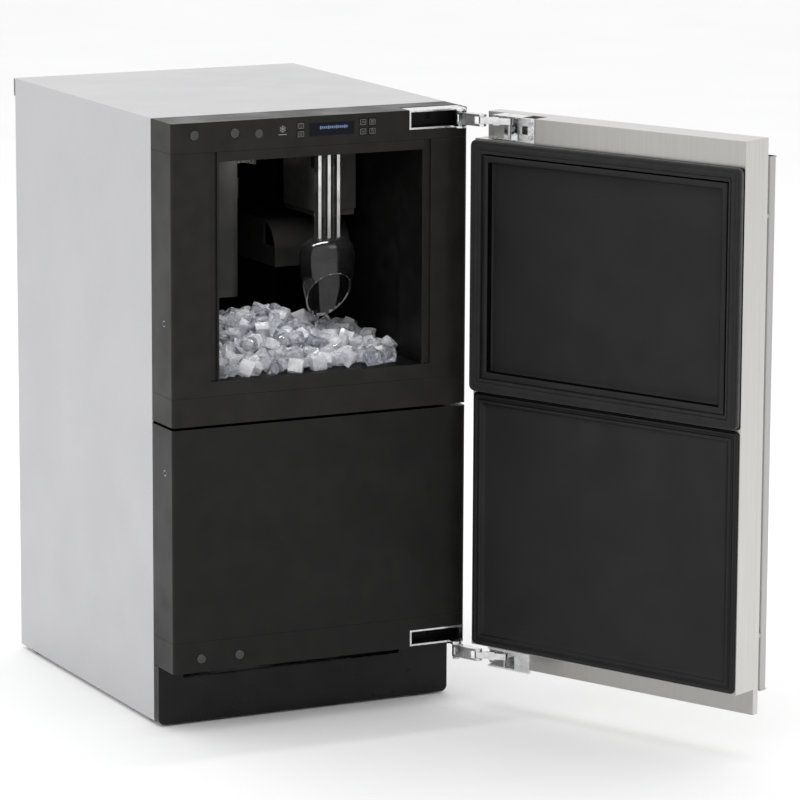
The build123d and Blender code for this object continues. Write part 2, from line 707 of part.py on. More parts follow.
def hinge_cup(z0, z1, deep):
    """Stamped cup on the door, open to the rear and to the hinge edge, in the door's own axes."""
    cup = door_block(CUP_START, CUP_MIDDLE, 0, deep, z0, z1)
    cup -= door_block(CUP_START - 1, CUP_MIDDLE - 2.5, -1, deep - 2, z0 + 2.5, z1 - 2.5)
    cup += door_block(CUP_MIDDLE - 2, CUP_END, 0, 2.5, z0, z1)
    middle = (z0 + z1) / 2
    cup -= door_block(82, 92, -1, 3, middle - 6, middle + 6)
    return cup - cup_pin(z0 - 1, z1 + 1)


def cup_pin(z0, z1):
    return rod_z(-CUP_PIVOT[0], -CUP_PIVOT[1], z0, z1, PIN_B)


def hinge_cup_upper():
    cup = hinge_cup(*UPPER_CUP, 29)
    for across, z in CUP_SCREWS:
        cup -= Pos(-across, 0, z) * Rot(90, 0, 0) * Cylinder(2, 8)
    return cup


def hinge_cup_lower():
    cup = hinge_cup(*LOWER_CUP, BOX_DEEP + 0.1)
    return cup + door_block(CUP_MIDDLE - 2, CUP_END, 2, 4, *LOWER_CUP)


def cup_screws():
    screws = []
    for across, z in CUP_SCREWS:
        head = Pos(-across, 0.9, z) * Rot(90, 0, 0) * Cylinder(3.6, 1.8)
        shank = Pos(-across, -4.5, z) * Rot(90, 0, 0) * Cylinder(2, 9)
        screws.append(on_door(head + shank))
    return Compound(screws)


# Door

def notch(margin):
    s, d, h = NOTCH
    return door_block(-5, s + margin, -5, d + margin, DOOR_TOP - h - margin, DOOR_TOP + 5)


def door_wrap():
    wrap = door_block(0, DOOR_WIDTH, 0, BOX_DEEP, BOX_LOW, DOOR_TOP) - notch(0)
    return wrap - door_room() - liner_window()


def door_room():
    k = DOOR_SKIN
    room = door_block(k, DOOR_WIDTH - k, k, BOX_DEEP - k, BOX_LOW + k, DOOR_TOP - k)
    return room - notch(k)


def liner_window():
    room = door_block(4, DOOR_WIDTH - 4, -1, DOOR_SKIN + 0.1, LINER_LOW + 2, LINER_TOP - 2)
    return room - notch(DOOR_SKIN)


def screw_holes():
    return joined([Pos(-across, -4.5, z) * Rot(90, 0, 0) * Cylinder(2, 9.2) for across, z in CUP_SCREWS])


def door_foam():
    return door_room() - screw_holes()


def door_panel():
    k = DOOR_SKIN
    rear = BOX_DEEP + 0.1
    front = BOX_DEEP + PANEL_DEEP
    panel = door_block(0, DOOR_WIDTH, rear, front, PANEL_LOW, DOOR_TOP)
    panel -= door_block(k, DOOR_WIDTH - k, rear + k, front - k, PANEL_LOW + k, DOOR_TOP - k)
    panel -= door_block(12, DOOR_WIDTH - 12, BOX_DEEP - 1, BOX_DEEP + 2 * k, BOX_LOW + 12, DOOR_TOP - 12)
    for z in STANDOFF_Z:
        panel -= standoff_stem(z)
    edges = [e for e in panel.edges().filter_by(Axis.Z) if e.center().Y < -front + 0.2]
    return fillet([e for e in edges if e.length > 700], 1.0)


def ring(s0, s1, z0, z1, wide, d0, d1):
    hole = door_block(s0 + wide, s1 - wide, d0 - 1, d1 + 1, z0 + wide, z1 - wide)
    return door_block(s0, s1, d0, d1, z0, z1) - hole


def door_liner():
    """One moulding with a dyked upper field and a beaded lower one."""
    liner = door_block(LINER_EDGE, DOOR_WIDTH - LINER_EDGE, -3, 0, LINER_LOW, LINER_TOP)
    liner -= door_block(-1, DOOR_WIDTH + 1, -4, -2, LINER_SPLIT - 1.5, LINER_SPLIT)
    dyke = ring(22, DOOR_WIDTH - 22, LINER_SPLIT + 22, LINER_TOP - 22, 12, -DYKE_PROUD, -2.9)
    return liner + dyke + ring(12, DOOR_WIDTH - 12, LINER_LOW + 10, LINER_SPLIT - 9, 6, -5.5, -2.9)


def door_gasket():
    gasket = ring(LINER_EDGE, DOOR_WIDTH - LINER_EDGE, LINER_SPLIT, LINER_TOP, GASKET_WIDE, -GASKET_PROUD, -3)
    front = [e for e in gasket.edges() if abs(e.center().Y - GASKET_PROUD) < 0.01]
    return fillet(front, 1.5)


def handle_bar():
    s0, s1, d0, d1 = HANDLE
    bar = door_block(s0, s1, d0, d1, HANDLE_Z[0], HANDLE_Z[1])
    return fillet(bar.edges().filter_by(Axis.Z), 3)


def standoff_stem(z):
    s = (HANDLE[0] + HANDLE[1]) / 2
    return Pos(-s, -(BOX_DEEP + PANEL_DEEP), z) * Rot(90, 0, 0) * Cylinder(3, 12)


def handle_standoffs():
    s = (HANDLE[0] + HANDLE[1]) / 2
    face = BOX_DEEP + PANEL_DEEP
    posts = []
    for z in STANDOFF_Z:
        post = Pos(-s, -(face + HANDLE[2]) / 2, z) * Rot(90, 0, 0) * Cylinder(5.5, HANDLE[2] - face)
        stem = Pos(-s, -face + 3, z) * Rot(90, 0, 0) * Cylinder(3, 6)
        posts.append(on_door(post + stem))
    return Compound(posts)


def save(name, shape):
    export_step(shape, f"parts/{name}.step")


def save_cabinet():
    save("outer_case", outer_case())
    save("back_panel", back_panel())
    save("base_pan", base_pan())
    save("toe_kick", toe_kick())
    save("front_frame", front_frame())
    save("control_strip", control_strip())
    save("mullion_rail", mullion_rail())
    save("lower_access_panel", lower_access_panel())
    save("lower_strip", lower_strip())
    save("frame_screws", frame_screws())
    save("hole_plugs", hole_plugs())
    save("display_window", display_window())
    save("control_board", control_board())
    save("bin_liner", bin_liner())
    save("bin_foam", bin_foam())
    save("hinge_frame_upper", hinge_frame_upper())
    save("hinge_frame_lower", hinge_frame_lower())
    save("hinge_pins_frame", Compound(frame_pins()))


def save_ice_parts():
    save("reservoir_cover", reservoir_cover())
    save("ice_maker_cover", ice_maker_cover())
    save("ice_deflector", ice_deflector())
    save("evaporator_plate", evaporator_plate())
    save("water_trough", water_trough())
    save("cutter_grid", cutter_grid())
    save("circulation_pump", circulation_pump())
    save("ice_heap", ice_heap())
    save("scoop", scoop())
    save("scoop_holder", scoop_holder())


def save_machine():
    save("compressor", compressor())
    save("condenser", condenser())
    save("fan_shroud", fan_shroud())
    save("fan_motor", fan_motor())
    save("fan_blade", fan_blade())
    save("refrigerant_tubes", refrigerant_tubes())
    save("electrical_box", electrical_box())
    save("drain_pump", drain_pump())
    save("water_valve", water_valve())
    save("power_inlet", power_inlet())


def save_moving():
    for name, (x, z) in KEY_PLACES.items():
        save(name, key(x, z))
    for end, sy in (("front", -1), ("rear", 1)):
        for side, sx in (("left", -1), ("right", 1)):
            save(f"leg_{end}_{side}", levelling_leg(sx, sy))
    centres = (UPPER_HINGE, LOWER_HINGE)
    save("hinge_arms", Compound([hinge_arm(z) for z in centres] + [arm_pin(z) for z in centres]))
    save("hinge_bars", Compound([hinge_bar(z) for z in centres]))


def save_door():
    save("door_wrap", on_door(door_wrap()))
    save("door_foam", on_door(door_foam()))
    save("door_panel", on_door(door_panel()))
    save("door_liner", on_door(door_liner()))
    save("door_gasket", on_door(door_gasket()))
    save("handle_bar", on_door(handle_bar()))
    save("handle_standoffs", handle_standoffs())
    save("hinge_cups", Compound([on_door(hinge_cup_upper()), on_door(hinge_cup_lower())]))
    save("hinge_pins_cup", Compound([on_door(cup_pin(*span)) for span in (UPPER_CUP, LOWER_CUP)]))
    save("cup_screws", cup_screws())


os.makedirs("parts", exist_ok=True)
save_cabinet()
save_ice_parts()
save_machine()
save_moving()
save_door()
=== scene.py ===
import math

import bmesh
import bpy
import numpy as np
from mathutils import Matrix, Vector
from mathutils.geometry import interpolate_bezier


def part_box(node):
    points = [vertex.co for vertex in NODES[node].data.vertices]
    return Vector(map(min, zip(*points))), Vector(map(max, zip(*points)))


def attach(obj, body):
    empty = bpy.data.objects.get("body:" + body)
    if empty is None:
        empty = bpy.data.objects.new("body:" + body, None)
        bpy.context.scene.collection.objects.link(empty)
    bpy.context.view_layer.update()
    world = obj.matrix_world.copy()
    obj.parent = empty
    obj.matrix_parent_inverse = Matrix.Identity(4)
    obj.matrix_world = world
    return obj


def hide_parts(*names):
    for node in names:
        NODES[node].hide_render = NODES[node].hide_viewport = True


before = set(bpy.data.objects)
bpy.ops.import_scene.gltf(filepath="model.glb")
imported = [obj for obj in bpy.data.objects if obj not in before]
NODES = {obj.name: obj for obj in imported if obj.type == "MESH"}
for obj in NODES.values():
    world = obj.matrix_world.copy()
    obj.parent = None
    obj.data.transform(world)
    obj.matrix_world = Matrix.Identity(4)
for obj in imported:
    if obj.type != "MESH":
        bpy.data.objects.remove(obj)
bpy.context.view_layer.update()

MM = 0.001

# Camera, fitted to the photograph's viewing angle
CAMERA_PLACE = (-2.7073, -5.9788, 1.6745)
CAMERA_YAW = 26.55
CAMERA_PITCH = 10.928
CAMERA_ROLL = 0.259
CAMERA_LENS = 204.87

# The open door's own axes: across from its hinge edge, deep from its rear face
DOOR_CORNER = (0.2227, -0.3482)
DOOR_TURN = math.radians(114.4)
DOOR = Matrix.Translation((*DOOR_CORNER, 0)) @ Matrix.Rotation(DOOR_TURN, 4, "Z")

# Ice: the crest is (across, height) in millimetres, just inside the mouth
ICE_SIZE = 0.0208
ICE_SPACING = 0.0152
ICE_SEED = 11
ICE_CUTS = 4
ICE_DARTS = 60000
ICE_MOST = 4000
ICE_CREST = (
    (-165, 526), (-123, 538), (-76, 555), (-13, 571), (18, 570), (42, 557), (74, 556), (106, 541), (165, 527),
)
ICE_CREST_AT = -0.12
ICE_LIP = (-0.285, 0.522)
ICE_FALL = 0.3
ICE_DEEP = 0.09
ICE_SILL_RISE = 25 * MM
ICE_SILL_DEEP = 0.02
ICE_SILL_END = 0.118

# Scoop
SCOOP_STEPS = 56
SCOOP_WALL = 2.2 * MM
SCOOP_FLARE = 1.08
SCOOP_HANDLE_TALL = 133 * MM
SCOOP_HANDLE_HALF = (17 * MM, 7 * MM)
SCOOP_HANDLE_PLATE = 2.5 * MM
SCOOP_RIB_HALF = 2.3 * MM
SCOOP_BOWL_TALL = 125 * MM
SCOOP_BOWL_OVERLAP = 5 * MM
SCOOP_OPENING_TALL = 75 * MM
SCOOP_AISLE = 12 * MM
SCOOP_AISLE_END = -0.136

# Door
GASKET_CORNER = 9 * MM
LINER_SHEET = 3 * MM
LINER_MIDDLE = 150 * MM
LINER_UPPER_CORNER = 6 * MM
LINER_LOWER_CORNER = 7 * MM
LINER_LOWER_INSET = 1.6 * MM

# Small hardware
PAD_HEIGHT = 9 * MM
MOUTH_HALF = 157 * MM
SCREW_RADIUS = 4.2 * MM
BACK_SCREW = (3.6 * MM, 1.7 * MM)
BACK_SCREW_ROWS = 6
STANDOFF_RADIUS = 5.5 * MM
HOUSING_SCREW = (4.2 * MM, 1.6 * MM)
TREAD_RINGS = 5
TREAD_LOW = 10.2 * MM
TREAD_PITCH = 0.3 * MM

# Printed signs
PRINT_FRONT = 0.12 * MM
PRINT_BACK = 0.2 * MM
KEY_LINE = 0.32 * MM
KEY_MARGIN = 1.3 * MM
KEY_SIGN_RADIUS = 2.0 * MM
DISPLAY_SEGMENTS = 14
DISPLAY_START = 16 * MM
DISPLAY_PITCH = 3.1 * MM

# Vents in the back panel
LOUVRE_ROWS = 7
LOUVRE_LOW = 230 * MM
LOUVRE_PITCH = 18 * MM
LOUVRE_HALF = 36 * MM
LOUVRE_CENTRES = (-0.09, 0, 0.09)

# Light: name, place, what it faces, size and power of each softbox
WORLD_LIGHT = 0.98
SOFTBOXES = (
    ("top_box", (-0.4, 0.6, 3.6), (0, 0, 0.4), (4.5, 4.5), 44),
    ("left_box", (-4.2, -0.4, 1.9), (-0.2, -0.05, 0.45), (3.2, 2.6), 18),
    ("front_box", (1.6, -4.2, 3.4), (0.1, -0.3, 0.5), (1.8, 1.2), 12),
)
BIN_LIGHT_SIZE = (0.2, 0.02)
BIN_LIGHT_POWER = 0.42
BIN_LIGHT_SPREAD = math.radians(110)
FLOOR_SIZE = 14.0


# Materials

class Shader:
    """One material's node tree, around a Principled shader."""

    def __init__(self, name, colour, roughness, **sockets):
        self.material = bpy.data.materials.new(name)
        self.material.use_nodes = True
        self.tree = self.material.node_tree
        self.surface = self.tree.nodes["Principled BSDF"]
        self.surface.inputs["Base Color"].default_value = (*colour, 1)
        self.surface.inputs["Roughness"].default_value = roughness
        for key, value in sockets.items():
            self.surface.inputs[key.replace("_", " ")].default_value = value
        self.place = self.add("ShaderNodeTexCoord").outputs["Object"]
        self.normal = None

    def add(self, kind, **inputs):
        node = self.tree.nodes.new(kind)
        for key, value in inputs.items():
            node.inputs[key].default_value = value
        return node

    def link(self, source, target):
        self.tree.links.new(source, target)

    def stretched(self, scale):
        node = self.add("ShaderNodeMapping", Scale=scale)
        self.link(self.place, node.inputs["Vector"])
        return node.outputs["Vector"]

    def noise(self, scale, detail=3.0, stretch=None):
        node = self.add("ShaderNodeTexNoise", Scale=scale, Detail=detail)
        self.link(self.place if stretch is None else self.stretched(stretch), node.inputs["Vector"])
        return node.outputs["Fac"]

    def cells(self, scale, stretch=None, feature="F1"):
        node = self.add("ShaderNodeTexVoronoi", Scale=scale)
        node.feature = feature
        self.link(self.place if stretch is None else self.stretched(stretch), node.inputs["Vector"])
        return node.outputs["Distance"]

    def range(self, factor, low, high, start=0.35, end=0.65):
        node = self.add("ShaderNodeMapRange")
        node.inputs["From Min"].default_value = start
        node.inputs["From Max"].default_value = end
        node.inputs["To Min"].default_value = low
        node.inputs["To Max"].default_value = high
        self.link(factor, node.inputs["Value"])
        return node.outputs["Result"]

    def colours(self, factor, low, high, start=0.35, end=0.65):
        node = self.tree.nodes.new("ShaderNodeValToRGB")
        node.color_ramp.elements[0].position = start
        node.color_ramp.elements[1].position = end
        node.color_ramp.elements[0].color = (*low, 1)
        node.color_ramp.elements[1].color = (*high, 1)
        self.link(factor, node.inputs["Fac"])
        self.link(node.outputs["Color"], self.surface.inputs["Base Color"])
        return node.outputs["Color"]

    def vary(self, socket, factor, low, high, start=0.35, end=0.65):
        self.link(self.range(factor, low, high, start, end), self.surface.inputs[socket])

    def rounded(self, radius):
        node = self.add("ShaderNodeBevel", Radius=radius)
        node.samples = 4
        self.normal = node.outputs["Normal"]
        self.link(self.normal, self.surface.inputs["Normal"])

    def bump(self, height, strength, distance):
        node = self.add("ShaderNodeBump", Strength=strength, Distance=distance)
        self.link(height, node.inputs["Height"])
        if self.normal:
            self.link(self.normal, node.inputs["Normal"])
        self.normal = node.outputs["Normal"]
        self.link(self.normal, self.surface.inputs["Normal"])

    def edge_wear_and_painted_highlight(self, base, radius, edge_wear_and_highlight_colour, strength=1.0):
        """Lighten the base colour where an edge is near, from how far a rounded normal turns: edge wear on
        most materials, a painted highlight on the clear plastic.
        """
        soft = self.add("ShaderNodeBevel", Radius=radius)
        soft.samples = 4
        true = self.tree.nodes.new("ShaderNodeNewGeometry")
        dot = self.tree.nodes.new("ShaderNodeVectorMath")
        dot.operation = "DOT_PRODUCT"
        self.link(soft.outputs["Normal"], dot.inputs[0])
        self.link(true.outputs["Normal"], dot.inputs[1])
        mask = self.range(dot.outputs["Value"], strength, 0, 0.72, 0.995)
        mix = self.tree.nodes.new("ShaderNodeMixRGB")
        mix.inputs["Color2"].default_value = (*edge_wear_and_highlight_colour, 1)
        self.link(mask, mix.inputs["Fac"])
        self.link(base, mix.inputs["Color1"])
        self.link(mix.outputs["Color"], self.surface.inputs["Base Color"])
        return mask


def case_paint():
    s = Shader("case_paint", (0.46, 0.46, 0.47), 0.42, Metallic=0.25, Coat_Weight=0.15)
    s.rounded(0.9 * MM)
    flake = s.cells(900)
    s.colours(s.noise(1400, 2), (0.41, 0.41, 0.419), (0.51, 0.51, 0.52), 0.3, 0.7)
    s.vary("Roughness", s.noise(9), 0.36, 0.5)
    s.bump(flake, 0.12, 0.2 * MM)
    s.bump(s.noise(2.5, 2), 0.05, 0.8 * MM)
    return s.material


def galvanised():
    s = Shader("galvanised", (0.5, 0.51, 0.52), 0.4, Metallic=0.85)
    s.colours(s.cells(140), (0.47, 0.485, 0.495), (0.55, 0.565, 0.575), 0.1, 0.8)
    s.vary("Roughness", s.cells(190), 0.36, 0.5, 0.1, 0.8)
    s.bump(s.noise(300), 0.15, 0.2 * MM)
    return s.material


def black_moulding(name, colour):
    """Fine-grained black moulding, a little warm."""
    s = Shader(name, colour, 0.38, Specular_IOR_Level=0.2)
    s.rounded(0.8 * MM)
    tint = s.colours(s.noise(40), tuple(0.8 * c for c in colour), tuple(1.2 * c for c in colour))
    s.edge_wear_and_painted_highlight(tint, 0.7 * MM, (0.035, 0.034, 0.033))
    s.vary("Roughness", s.noise(14), 0.3, 0.44)
    s.bump(s.noise(2600, 2), 0.16, 0.1 * MM)
    return s.material


def bin_plastic():
    s = Shader("bin_plastic", (0.005, 0.005, 0.005), 0.45, Specular_IOR_Level=0.07)
    s.colours(s.noise(30), (0.003, 0.003, 0.003), (0.0062, 0.006, 0.0058))
    s.vary("Roughness", s.noise(22), 0.36, 0.55)
    s.bump(s.noise(16, 2), 0.2, 0.8 * MM)
    return s.material


def housing_plastic(name, colour):
    s = Shader(name, colour, 0.42, Specular_IOR_Level=0.22)
    s.rounded(1.5 * MM)
    tint = s.colours(s.noise(25), tuple(0.85 * c for c in colour), tuple(1.15 * c for c in colour))
    s.edge_wear_and_painted_highlight(tint, 1.0 * MM, tuple(2 * c for c in colour))
    s.vary("Roughness", s.noise(60), 0.3, 0.5)
    s.bump(s.noise(1800, 2), 0.2, 0.1 * MM)
    return s.material


def liner_plastic():
    s = Shader("liner_plastic", (0.0085, 0.0085, 0.009), 0.44, Specular_IOR_Level=0.22)
    tint = s.colours(s.noise(8), (0.0072, 0.0072, 0.0076), (0.0102, 0.01, 0.0104))
    # Painted shade: the colour darkens to near black where ambient occlusion within 30 mm finds other
    # surfaces, in the liner's corners and recesses.
    mix = s.tree.nodes.new("ShaderNodeMixRGB")
    mix.inputs["Color1"].default_value = (0.001, 0.001, 0.001, 1)
    s.link(tint, mix.inputs["Color2"])
    near = s.add("ShaderNodeAmbientOcclusion", Distance=30 * MM)
    near.samples = 6
    s.link(s.range(near.outputs["AO"], 0, 1, 0.55, 0.98), mix.inputs["Fac"])
    s.edge_wear_and_painted_highlight(mix.outputs["Color"], 0.8 * MM, (0.02, 0.02, 0.021))
    s.vary("Roughness", s.noise(20), 0.36, 0.5)
    s.bump(s.noise(3000, 2), 0.2, 0.1 * MM)
    return s.material


def liner_step_painted_shade():
    """The matt wall round the liner's recessed field, coloured near black as painted shade."""
    s = Shader("liner_step_painted_shade", (0.0012, 0.0012, 0.0012), 0.7, Specular_IOR_Level=0.02)
    s.colours(s.noise(60), (0.0008, 0.0008, 0.0008), (0.0018, 0.0018, 0.0018))
    s.vary("Roughness", s.noise(90), 0.6, 0.8)
    s.bump(s.noise(900), 0.1, 0.1 * MM)
    return s.material


def gasket_rubber():
    s = Shader("gasket_rubber", (0.007, 0.007, 0.007), 0.5, Specular_IOR_Level=0.2)
    s.colours(s.noise(30), (0.0055, 0.0055, 0.0057), (0.009, 0.009, 0.0092))
    s.surface.inputs["Sheen Weight"].default_value = 0.15
    s.vary("Roughness", s.noise(90), 0.42, 0.6)
    s.bump(s.noise(1200, 3), 0.25, 0.1 * MM)
    return s.material


def stainless(name, colour):
    """Brushed steel, with its grain running up and down."""
    s = Shader(name, colour, 0.33, Metallic=1.0, Anisotropic=0.3)
    s.rounded(0.9 * MM)
    streak = s.noise(1, 6, (1500, 1500, 9))
    s.colours(streak, tuple(0.95 * c for c in colour), tuple(1.05 * c for c in colour))
    s.vary("Roughness", s.noise(1, 4, (420, 420, 4)), 0.3, 0.38)
    s.bump(streak, 0.06, 0.08 * MM)
    return s.material


def chrome():
    s = Shader("chrome", (0.72, 0.72, 0.73), 0.12, Metallic=1.0)
    s.rounded(0.5 * MM)
    tint = s.colours(s.noise(120), (0.62, 0.62, 0.63), (0.8, 0.8, 0.81))
    s.edge_wear_and_painted_highlight(tint, 0.5 * MM, (0.95, 0.95, 0.95))
    s.vary("Roughness", s.noise(200), 0.08, 0.24)
    s.bump(s.noise(500), 0.08, 0.1 * MM)
    return s.material


def zinc():
    s = Shader("zinc", (0.55, 0.56, 0.57), 0.3, Metallic=1.0)
    s.rounded(0.3 * MM)
    s.colours(s.noise(250), (0.42, 0.43, 0.44), (0.64, 0.65, 0.66))
    s.vary("Roughness", s.noise(300), 0.22, 0.42)
    s.bump(s.noise(700), 0.2, 0.1 * MM)
    return s.material


def clear_plastic(name, low, high, clear):
    """Clear plastic that looks dark over a dark bin, with a painted highlight along its edges: lighter colour
    and less transmission near each edge.
    """
    s = Shader(name, high, 0.04, Transmission_Weight=clear, IOR=1.45, Specular_IOR_Level=0.2)
    tint = s.colours(s.noise(60), low, high)
    # Painted highlight: near each edge the colour turns light grey and the transmission drops.
    edge = s.edge_wear_and_painted_highlight(tint, 0.8 * MM, (0.8, 0.8, 0.8), 0.7)
    s.vary("Transmission Weight", edge, clear, 0.7 * clear, 0.1, 0.7)
    s.vary("Roughness", s.noise(90), 0.02, 0.08)
    s.bump(s.noise(45, 2), 0.1, 0.4 * MM)
    return s.material


def ice_material():
    s = Shader("ice", (0.9, 0.92, 0.97), 0.12, IOR=1.31)
    tone = s.tree.nodes.new("ShaderNodeAttribute")
    tone.attribute_name = "frost"
    cloud = s.noise(95, 4)
    total = s.tree.nodes.new("ShaderNodeMath")
    total.operation = "ADD"
    s.link(tone.outputs["Fac"], total.inputs[0])
    s.link(cloud, total.inputs[1])
    s.vary("Transmission Weight", total.outputs["Value"], 0.94, 0.5, 0.5, 1.25)
    s.vary("Roughness", total.outputs["Value"], 0.04, 0.3, 0.55, 1.25)
    s.colours(total.outputs["Value"], (0.86, 0.88, 0.94), (0.97, 0.97, 1.0), 0.6, 1.0)
    s.bump(s.noise(260, 3), 0.35, 0.5 * MM)
    s.bump(s.cells(140), 0.25, 0.6 * MM)
    return s.material


def display_glass():
    s = Shader("display_glass", (0.003, 0.004, 0.008), 0.12, Specular_IOR_Level=0.12)
    s.colours(s.noise(500), (0.0025, 0.0032, 0.0065), (0.004, 0.005, 0.01))
    s.vary("Roughness", s.noise(60), 0.05, 0.16)
    s.bump(s.noise(30), 0.03, 0.2 * MM)
    return s.material


def lit(name, colour, strength):
    s = Shader(name, colour, 0.4, Emission_Color=(*colour, 1), Emission_Strength=strength)
    s.colours(s.noise(700), tuple(0.8 * c for c in colour), colour)
    s.bump(s.noise(900), 0.1, 0.05 * MM)
    return s.material


def moulded(name, low, high, roughness):
    """Moulded plastic of one colour, for the parts inside."""
    s = Shader(name, high, roughness)
    s.rounded(0.5 * MM)
    tint = s.colours(s.noise(35), low, high)
    s.edge_wear_and_painted_highlight(tint, 0.6 * MM, tuple(min(1, 1.3 * c + 0.03) for c in high))
    s.vary("Roughness", s.noise(50), roughness - 0.08, roughness + 0.1)
    s.bump(s.noise(1500, 2), 0.2, 0.1 * MM)
    return s.material


def foam():
    s = Shader("foam", (0.75, 0.66, 0.4), 0.9)
    s.colours(s.cells(220), (0.6, 0.5, 0.27), (0.82, 0.73, 0.48), 0.0, 0.7)
    s.vary("Roughness", s.noise(80), 0.8, 1.0)
    s.bump(s.cells(350), 0.6, 1.0 * MM)
    return s.material


def circuit():
    s = Shader("circuit", (0.02, 0.16, 0.06), 0.35)
    trace = s.add("ShaderNodeTexBrick", Scale=120.0)
    s.link(s.place, trace.inputs["Vector"])
    s.colours(trace.outputs["Fac"], (0.015, 0.12, 0.045), (0.1, 0.3, 0.12), 0.2, 0.8)
    s.vary("Roughness", s.noise(200), 0.28, 0.5)
    s.bump(trace.outputs["Fac"], 0.3, 0.1 * MM)
    return s.material


def bare_metal(name, low, high, roughness):
    s = Shader(name, high, roughness, Metallic=1.0)
    s.rounded(0.4 * MM)
    s.colours(s.noise(70, 5), low, high)
    s.vary("Roughness", s.noise(160), roughness - 0.08, roughness + 0.14)
    s.bump(s.noise(600), 0.2, 0.15 * MM)
    return s.material


def enamel(name, roughness, gloss):
    s = Shader(name, (0.006, 0.006, 0.006), roughness, Specular_IOR_Level=gloss)
    s.rounded(0.8 * MM)
    tint = s.colours(s.noise(25), (0.0045, 0.0045, 0.0045), (0.008, 0.008, 0.0078))
    s.edge_wear_and_painted_highlight(tint, 0.6 * MM, (0.06, 0.06, 0.058))
    s.vary("Roughness", s.noise(18), 0.8 * roughness, 1.25 * roughness)
    s.bump(s.noise(900), 0.12, 0.15 * MM)
    return s.material


def floor_material():
    s = Shader("floor", (0.95, 0.95, 0.95), 0.6, Specular_IOR_Level=0.1)
    s.colours(s.noise(2), (0.965, 0.965, 0.965), (0.985, 0.985, 0.985))
    return s.material


MATERIALS = {
    "case_paint": case_paint(),
    "galvanised": galvanised(),
    "black_moulding": black_moulding("black_moulding", (0.0102, 0.0094, 0.0086)),
    "deflector_plastic": black_moulding("deflector_plastic", (0.022, 0.021, 0.02)),
    # A darker copy of the black moulding for the lower access panel and lower strip: painted shade towards
    # the bottom.
    "moulding_painted_shade": black_moulding("moulding_painted_shade", (0.0062, 0.0057, 0.0053)),
    "bin_plastic": bin_plastic(),
    "reservoir_plastic": housing_plastic("reservoir_plastic", (0.017, 0.0165, 0.0155)),
    "cover_plastic": housing_plastic("cover_plastic", (0.07, 0.068, 0.064)),
    "liner_plastic": liner_plastic(),
    "liner_step_painted_shade": liner_step_painted_shade(),
    "gasket_rubber": gasket_rubber(),
    "stainless": stainless("stainless", (0.6, 0.592, 0.575)),
    # A darker copy of the stainless, as painted shade on the steel that faces the bin.
    "stainless_painted_shade": stainless("stainless_painted_shade", (0.42, 0.412, 0.396)),
    "stainless_handle": stainless("stainless_handle", (0.46, 0.455, 0.445)),
    "chrome": chrome(),
    "zinc": zinc(),
    "clear_plastic": clear_plastic("clear_plastic", (0.16, 0.16, 0.16), (0.24, 0.24, 0.24), 0.97),
    # A lighter, less clear copy of the clear plastic: a painted highlight on the scoop's rib fronts and rims.
    "clear_painted_highlight": clear_plastic("clear_painted_highlight", (0.5, 0.49, 0.48), (0.75, 0.74, 0.72), 0.6),
    "ice": ice_material(),
    "display_glass": display_glass(),
    "lit_blue": lit("lit_blue", (0.12, 0.17, 0.32), 0.3),
    # The printed grey glows faintly: a painted glow on print that is no lamp.
    "print_grey_painted_glow": lit("print_grey_painted_glow", (0.3, 0.3, 0.29), 0.05),
    "white_plastic": moulded("white_plastic", (0.66, 0.66, 0.64), (0.76, 0.76, 0.74), 0.4),
    "grey_plastic": moulded("grey_plastic", (0.1, 0.1, 0.105), (0.15, 0.15, 0.155), 0.45),
    "foam": foam(),
    "circuit": circuit(),
    "copper": bare_metal("copper", (0.5, 0.22, 0.11), (0.74, 0.38, 0.22), 0.3),
    "aluminium": bare_metal("aluminium", (0.5, 0.5, 0.51), (0.68, 0.68, 0.69), 0.36),
    "nickel": bare_metal("nickel", (0.52, 0.49, 0.44), (0.68, 0.65, 0.6), 0.22),
    "black_enamel": enamel("black_enamel", 0.32, 0.2),
    "plug_black": enamel("plug_black", 0.14, 0.8),
}

NODE_MATERIALS = {
    "outer_case": "case_paint", "back_panel": "galvanised", "base_pan": "galvanised",
    "toe_kick": "black_enamel", "front_frame": "black_moulding", "control_strip": "black_moulding",
    "mullion_rail": "black_moulding", "lower_access_panel": "moulding_painted_shade",
    "lower_strip": "moulding_painted_shade", "frame_screws": "zinc", "hole_plugs": "plug_black",
    "display_window": "display_glass", "control_board": "circuit", "bin_liner": "bin_plastic",
    "bin_foam": "foam", "hinge_frame_upper": "chrome", "hinge_frame_lower": "chrome",
    "hinge_pins_frame": "zinc", "reservoir_cover": "reservoir_plastic",
    "ice_maker_cover": "cover_plastic", "ice_deflector": "deflector_plastic",
    "evaporator_plate": "nickel", "water_trough": "grey_plastic", "cutter_grid": "nickel",
    "circulation_pump": "grey_plastic", "scoop_holder": "bin_plastic",
    "compressor": "black_enamel", "condenser": "aluminium", "fan_shroud": "grey_plastic",
    "fan_motor": "black_enamel", "fan_blade": "white_plastic", "refrigerant_tubes": "copper",
    "electrical_box": "galvanised", "drain_pump": "white_plastic", "water_valve": "white_plastic",
    "power_inlet": "grey_plastic", "hinge_arms": "chrome", "hinge_bars": "chrome",
    "door_wrap": "stainless", "door_foam": "foam", "door_panel": "stainless",
    "handle_bar": "stainless_handle", "handle_standoffs": "stainless_handle", "hinge_cups": "chrome",
    "hinge_pins_cup": "zinc", "cup_screws": "zinc",
}


def dress_nodes():
    for name, node in NODES.items():
        if name.startswith("key_"):
            kind = "black_moulding"
        elif name.startswith("leg_"):
            kind = "zinc"
        else:
            kind = NODE_MATERIALS.get(name)
        if kind:
            node.data.materials.clear()
            node.data.materials.append(MATERIALS[kind])
        if name.startswith("leg_"):
            recolour(node.data, "black_enamel", lambda centre, normal: centre.z < PAD_HEIGHT)


